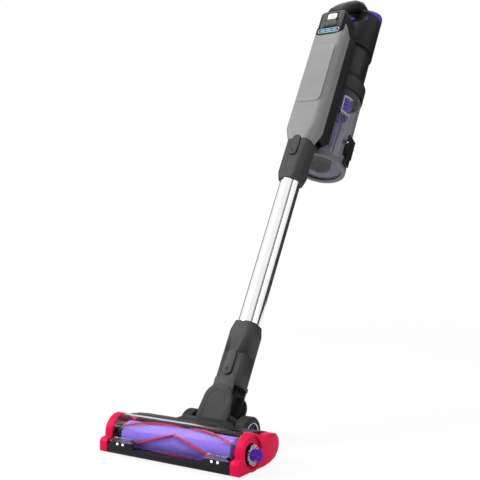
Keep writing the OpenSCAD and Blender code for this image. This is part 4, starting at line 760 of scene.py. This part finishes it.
NECK_SEAM, NECK_BORE = 122.0, 21.3
groove(bpy.data.objects["upper_neck_moulded"], NECK_SEAM, NECK_BORE)

# %% [markdown]
# The control panel is a black glossy plate with printed touch marks. The marks stay generic: a power
# sign, two rings and four dashes. Each is a thin flat solid that stands a hair above the plate.

# %% Marks on the control panel
PANEL_T0, PLATE_N, MARK_HIGH = 842.15, -24.5, 0.25
mark_grey = plastic("mark_grey", (0.20, 0.20, 0.21), (0.3, 0.4), strength=0.02)
mark_white = plastic("mark_white", (0.72, 0.74, 0.76), (0.3, 0.4), strength=0.02)
sign_grey = plastic("sign_grey", (0.22, 0.22, 0.24), (0.3, 0.4), strength=0.02)


def raise_flat(piece):
    """Gives a flat mark on the wand's front its thickness, outwards."""
    edit(piece)
    rise = along(0, -1, 0) * MARK_HIGH * MM
    bpy.ops.mesh.extrude_region_move(TRANSFORM_OT_translate={"value": tuple(rise)})
    bpy.ops.object.mode_set(mode="OBJECT")
    closed_up(piece)
    return piece


def slot_points(width, height, t, steps=12):
    """The rim of a slot with round ends, from its lower right corner."""
    r = height / 2
    points = []
    for side in (1, -1):
        for i in range(steps + 1):
            angle = math.radians(-90 * side + 180 * i / steps)
            points.append((side * (width / 2 - r) + r * math.cos(angle), t + r * math.sin(angle)))
    return points


def hollow_mark(name, points, n, wide):
    """A thin frame round `points`: the flat face is inset and its middle removed."""
    piece = outline(name, plate_points(points, n), closed=True)
    edit(piece)
    bpy.ops.mesh.inset(thickness=wide * MM, depth=0.0)
    bpy.ops.mesh.delete(type="FACE")
    bpy.ops.object.mode_set(mode="OBJECT")
    return raise_flat(piece)


def arc_mark(name, x, t, r, wide, start, end, n, steps=32):
    """A thin arc of radius r round (x, t), from the angle `start` to `end`, measured from the top."""
    turns = [math.radians(start + (end - start) * i / steps) for i in range(steps + 1)]
    rim = [(x + (r + wide / 2) * math.sin(a), t + (r + wide / 2) * math.cos(a)) for a in turns]
    rim += [(x + (r - wide / 2) * math.sin(a), t + (r - wide / 2) * math.cos(a)) for a in reversed(turns)]
    return raise_flat(outline(name, plate_points(rim, n), closed=True))


def dash_mark(name, x, t, width, height, n):
    corners = [(x + a * width / 2, t + b * height / 2) for a, b in ((-1, -1), (1, -1), (1, 1), (-1, 1))]
    return raise_flat(outline(name, plate_points(corners, n), closed=True))


bar_frame = hollow_mark("light_bar_frame", slot_points(49.0, 11.5, PANEL_T0 + 11), PLATE_N, 1.0)
finished(bar_frame, mark_white, "hand_unit")
marks = [arc_mark("mark", side * 19, PANEL_T0 + 33, 3.4, 0.7, 0, 350, PLATE_N) for side in (-1, 1)]
marks += [dash_mark("mark", side * 19, PANEL_T0 + 24.5, 8, 0.9, PLATE_N) for side in (-1, 1)]
for side in (-1, 1):
    marks += [dash_mark("mark", side * 9, PANEL_T0 + t, 5, 0.8, PLATE_N) for t in (29, 34)]
finished(joined("touch_marks", marks), mark_grey, "hand_unit")

# %% [markdown]
# The power sign on the white button is an open ring with a short bar, the usual one of every
# household device. It rides on the button, so that it goes down with it.

# %% Power sign
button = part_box("power_button")
button_middle = (Vector(button[0]) + Vector(button[1])) / 2
BUTTON_T = (STICK_INVERSE @ button_middle).z
button_face = min((STICK_INVERSE @ v.co).y for v in nodes["power_button"].data.vertices)
sign = [arc_mark("sign", 0, BUTTON_T, 3.3, 0.9, 32, 328, button_face),
        dash_mark("sign", 0, BUTTON_T + 2.6, 0.9, 3.6, button_face)]
finished(joined("power_sign", sign), sign_grey, "power_key")

# %% [markdown]
# In the clear bin, to the right of the cyclone's fins, stands a white bracket with slanted violet
# slats. Each slat is a curved plate that climbs while it turns round the bin's axis. The same
# helper draws the lighter window in the motor housing.

# %% The bracket with slats in the bin
def in_bin(radius, turn, t):
    """A place in the bin by radius, turn from the right towards the back, and height."""
    return stick(radius * math.cos(math.radians(turn)), POD_N + radius * math.sin(math.radians(turn)), t)


def bin_plate(name, turn0, turn1, t0, t1, r0, r1, slant=0.0, steps=8):
    """A curved plate round the bin's axis, between two radii and two heights; it climbs by `slant`."""
    section = [in_bin(r, turn0, t) for r, t in ((r0, t0), (r1, t0), (r1, t1), (r0, t1))]
    piece = outline(name, section, closed=True)
    edit(piece)
    axis, centre = along(0, 0, 1), in_bin(0, 0, 700)  # any height on the axis gives the same turn
    turn = Matrix.Rotation(math.radians((turn1 - turn0) / steps), 4, axis)
    lift = axis * slant / steps * MM
    for _ in range(steps):
        bpy.ops.mesh.extrude_region_move()
        bpy.ops.object.mode_set(mode="OBJECT")
        for vertex in piece.data.vertices:
            if vertex.select:
                vertex.co = turn @ (vertex.co - centre) + centre + lift
        bpy.ops.object.mode_set(mode="EDIT")
    bpy.ops.object.mode_set(mode="OBJECT")
    closed_up(piece)
    return piece


BRACKET_FROM, BRACKET_SPAN, BRACKET_LOW, BRACKET_HIGH = -42.0, 28.0, 698, 739
BRACKET_R, RAIL = (38.5, 44.5), 2.5
rails = [bin_plate("bracket", BRACKET_FROM, BRACKET_FROM + BRACKET_SPAN, t, t + RAIL, *BRACKET_R)
         for t in (BRACKET_LOW, BRACKET_HIGH - 2)]
post = bin_plate("bracket", BRACKET_FROM, BRACKET_FROM + BRACKET_SPAN * 0.09, BRACKET_LOW, BRACKET_HIGH,
                 *BRACKET_R, steps=2)
bracket = joined("vane_bracket", [*rails, post])
finished(bracket, white_plastic, "hand_unit")
SLAT_R, SLAT_PITCH, SLAT_W = (39, 43), 6, 2.0
slats = [bin_plate("slat", BRACKET_FROM + 3, BRACKET_FROM + BRACKET_SPAN * 0.92, t, t + SLAT_W, *SLAT_R,
                   slant=6.0)
         for t in range(BRACKET_LOW + 4, BRACKET_HIGH - 7, SLAT_PITCH)]
finished(joined("vane_slats", slats), violet_plastic, "hand_unit")

# %% The lighter window in the motor housing
HOUSING_R, WINDOW_FROM, WINDOW_TO, WINDOW_LOW, WINDOW_HIGH = 46.0, -52, -18, 803, 868
vent = bin_plate("motor_window", WINDOW_FROM, WINDOW_TO, WINDOW_LOW, WINDOW_HIGH, HOUSING_R - 0.8,
                 HOUSING_R + 0.35, steps=14)
finished(vent, satin_dark, "hand_unit")

# %% [markdown]
# Between the floor head and the neck a short bellows of rubber carries the air. Its ribs are drawn
# as one wavy line and spun; the line comes back inside, so that the wall has its thickness. A small
# silver ring is spun round each wheel's hub.

# %% Ribbed bellows and hub rings
HOSE_FOOT, HOSE_TOP, HOSE_R, HOSE_WALL = -1.0, 56.8, 16.9, 4
RIBS, RIB_STEPS, RIB_DEPTH = 11, 6, 1.3
waves = []
for i in range(RIBS * RIB_STEPS + 1):
    share = i / (RIBS * RIB_STEPS)
    radius = HOSE_R - RIB_DEPTH + RIB_DEPTH * math.cos(2 * math.pi * RIBS * share)
    waves.append(stick(radius, 0, HOSE_FOOT + (HOSE_TOP - HOSE_FOOT) * share))
waves += [stick(HOSE_R - HOSE_WALL, 0, HOSE_TOP), stick(HOSE_R - HOSE_WALL, 0, HOSE_FOOT)]
bellows = turned("duct_bellows", waves, stick(0, 0, 0), along(0, 0, 1), steps=56, ring=True)
finished(bellows, tyre_rubber, body_of_node["duct_hose"], "duct_hose", smooth=60)

ring_silver = metal("ring_silver", (0.72, 0.72, 0.80), (0.25, 0.35), fine=500.0, drawn=60.0)
RING_PROFILE = ((64.6, 16.4), (66.2, 16.7), (66.5, 17.4), (66.2, 18.2), (64.6, 18.4))
for side, wheel, name in ((1, "right_wheel", "hub_ring_right"), (-1, "left_wheel", "hub_ring_left")):
    profile = [room(side * x, 0, AXLE_Z + r) for x, r in RING_PROFILE]
    hub_ring = turned(name, profile, room(0, 0, AXLE_Z), (1, 0, 0), steps=72, ring=True)
    finished(hub_ring, ring_silver, wheel)

# %% [markdown]
# The stage is a plain pale floor and soft light from large lamps, so that every curve shows a long
# quiet highlight. What the camera, metal and glass see behind the object is plain white, through
# Light Path, while the light that falls on the object stays at a plain level.

# %% Floor and surroundings
def seen_directly(tree):
    """1 where a ray from the camera, a reflection or through glass arrives, otherwise 0."""
    path = add(tree, "ShaderNodeLightPath")
    straight = math_node(tree, "MAXIMUM", path.outputs["Is Camera Ray"], path.outputs["Is Glossy Ray"])
    return math_node(tree, "MAXIMUM", straight, path.outputs["Is Transmission Ray"])


world = bpy.data.worlds.new("studio")
bpy.context.scene.world = world
world.use_nodes = True
tree = world.node_tree
back = tree.nodes["Background"]
back.inputs["Color"].default_value = (1.0, 1.0, 1.0, 1.0)
AMBIENT = 0.30
tree.links.new(fit(tree, seen_directly(tree), 0.0, 1.0, AMBIENT, 1.0), back.inputs["Strength"])

bpy.ops.object.select_all(action="DESELECT")
bpy.ops.mesh.primitive_circle_add(vertices=96, radius=7.0, fill_type="NGON", location=(0, 0, FLOOR_Z))
floor = bpy.context.object
floor.name = "floor"
floor_white, tree, shader = new_material("floor_white")
shader.inputs["Base Color"].default_value = (0.95, 0.95, 0.96, 1.0)
shader.inputs["Roughness"].default_value = 0.9
shader.inputs["Specular IOR Level"].default_value = 0.1
glow = add(tree, "ShaderNodeEmission")
glow.inputs["Strength"].default_value = 1.0
mix = add(tree, "ShaderNodeMixShader")
spot = add(tree, "ShaderNodeTexCoord").outputs["Object"]
away = add(tree, "ShaderNodeVectorMath", operation="LENGTH")
tree.links.new(spot, away.inputs[0])

# Right under the floor head the floor stays in its own shade, as seen through the brush window. The
# shade ends softly, between two distances in metres from the middle of the head's underside.
SHADE_X, SHADE_Y, SHADE_BACK = (0.106, 0.120), (0.034, 0.052), 0.034
places = add(tree, "ShaderNodeSeparateXYZ")
tree.links.new(spot, places.inputs[0])
beside = fit(tree, math_node(tree, "ABSOLUTE", places.outputs["X"]), *SHADE_X, 0.0, 1.0)
ahead = math_node(tree, "SUBTRACT", places.outputs["Y"], brush_middle.y + SHADE_BACK)
ahead = math_node(tree, "ABSOLUTE", ahead)
outside = math_node(tree, "MAXIMUM", beside, fit(tree, ahead, *SHADE_Y, 0.0, 1.0))
faded = fit(tree, away.outputs["Value"], 1.0, 1.9, 0.90, 1.0)
amount = math_node(tree, "MULTIPLY", seen_directly(tree), faded)
tree.links.new(math_node(tree, "MULTIPLY", amount, outside), mix.inputs["Fac"])
tree.links.new(shader.outputs[0], mix.inputs[1])
tree.links.new(glow.outputs[0], mix.inputs[2])
tree.links.new(mix.outputs[0], tree.nodes["Material Output"].inputs["Surface"])
floor.data.materials.append(floor_white)
print("floor at", round(FLOOR_Z, 4), "m")

# %% [markdown]
# Bright metal shows whatever stands around it, and in an all-white room it would vanish. A studio
# hangs dark cards beside it: here they are seen in reflections alone, and draw the wand's grey lines.

# %% Dark cards for the metal's reflections
CARD_DISTANCE, CARD_REACH, WAND_MIDDLE = 1.5, 1.6, 330
view = Vector((0.5536, -0.8328, 0.0))  # from the wand towards the camera
wand_axis = along(0, 0, 1)
facing = (view - wand_axis * view.dot(wand_axis)).normalized()


def mirrored(u):
    """Where the wand sends the camera's ray at the share u of its half width, from -1 to 1."""
    normal = facing * math.sqrt(1 - u * u) + wand_axis.cross(facing) * u
    return 2 * normal.dot(view) * normal - view


def dark_card(name, low, high, shade, steps=12):
    """A curved card that the wand mirrors between the shares low and high of its half width."""
    foot = stick(0, 0, WAND_MIDDLE) - wand_axis * CARD_REACH
    points = [foot + mirrored(low + (high - low) * i / steps) * CARD_DISTANCE for i in range(steps + 1)]
    card = outline(name, points)
    edit(card)
    bpy.ops.mesh.extrude_region_move(TRANSFORM_OT_translate={"value": tuple(wand_axis * 2 * CARD_REACH)})
    bpy.ops.object.mode_set(mode="OBJECT")
    paint, _, shader = new_material(name)
    shader.inputs["Base Color"].default_value = (0.0, 0.0, 0.0, 1.0)
    shader.inputs["Roughness"].default_value = 1.0
    shader.inputs["Emission Color"].default_value = (1.0, 1.0, 1.0, 1.0)
    shader.inputs["Emission Strength"].default_value = shade
    card.data.materials.append(paint)
    card.visible_camera = card.visible_diffuse = card.visible_shadow = card.visible_transmission = False


for name, low, high, shade in (("card_line", 0.03, 0.23, 0.22), ("card_right", 0.66, 0.999, 0.02),
                               ("card_left", -0.999, -0.93, 0.2)):
    dark_card(name, low, high, shade)
    print(name, "stands towards", [round(v, 2) for v in mirrored((low + high) / 2)])

# %% Soft lamps
middle = Vector((0.0, -0.25, -0.45))


def lamp(name, place, size, watts):
    """A rectangular lamp at `place` that shines at the middle of the object."""
    bpy.ops.object.light_add(type="AREA", location=place)
    light = bpy.context.object
    light.name = name
    light.data.shape = "RECTANGLE"
    light.data.size, light.data.size_y = size
    light.data.energy = watts
    light.rotation_euler = (middle - Vector(place)).to_track_quat("-Z", "Y").to_euler()


lamp("key_left", (-1.7, -1.7, 0.9), (1.2, 1.8), 57)
lamp("fill_right", (2.3, -0.7, 0.5), (1.2, 2.0), 12.5)
lamp("top", (-0.2, -0.3, 1.9), (1.6, 1.6), 26)
lamp("rim_back", (-0.9, 2.1, 0.9), (1.6, 1.2), 10)
print(len(bpy.data.lights), "lamps")

# %% [markdown]
# The camera stands to the right in front of the object, a little above the floor head, level with
# the middle of the wand. Its lens is long enough to keep the wand straight.

# %% Camera
camera_data = bpy.data.cameras.new("camera")
camera_data.lens, camera_data.sensor_width = 60.24, 36.0  # in millimetres
camera = bpy.data.objects.new("camera", camera_data)
bpy.context.scene.collection.objects.link(camera)
camera.location = (0.76207, -1.61845, -0.49847)
camera.rotation_euler = (math.radians(89.55), 0.0, math.radians(32.83))
bpy.context.scene.camera = camera
bpy.context.scene.view_settings.view_transform = "Standard"
print("camera is", round((camera.location - middle).length, 2), "m away")
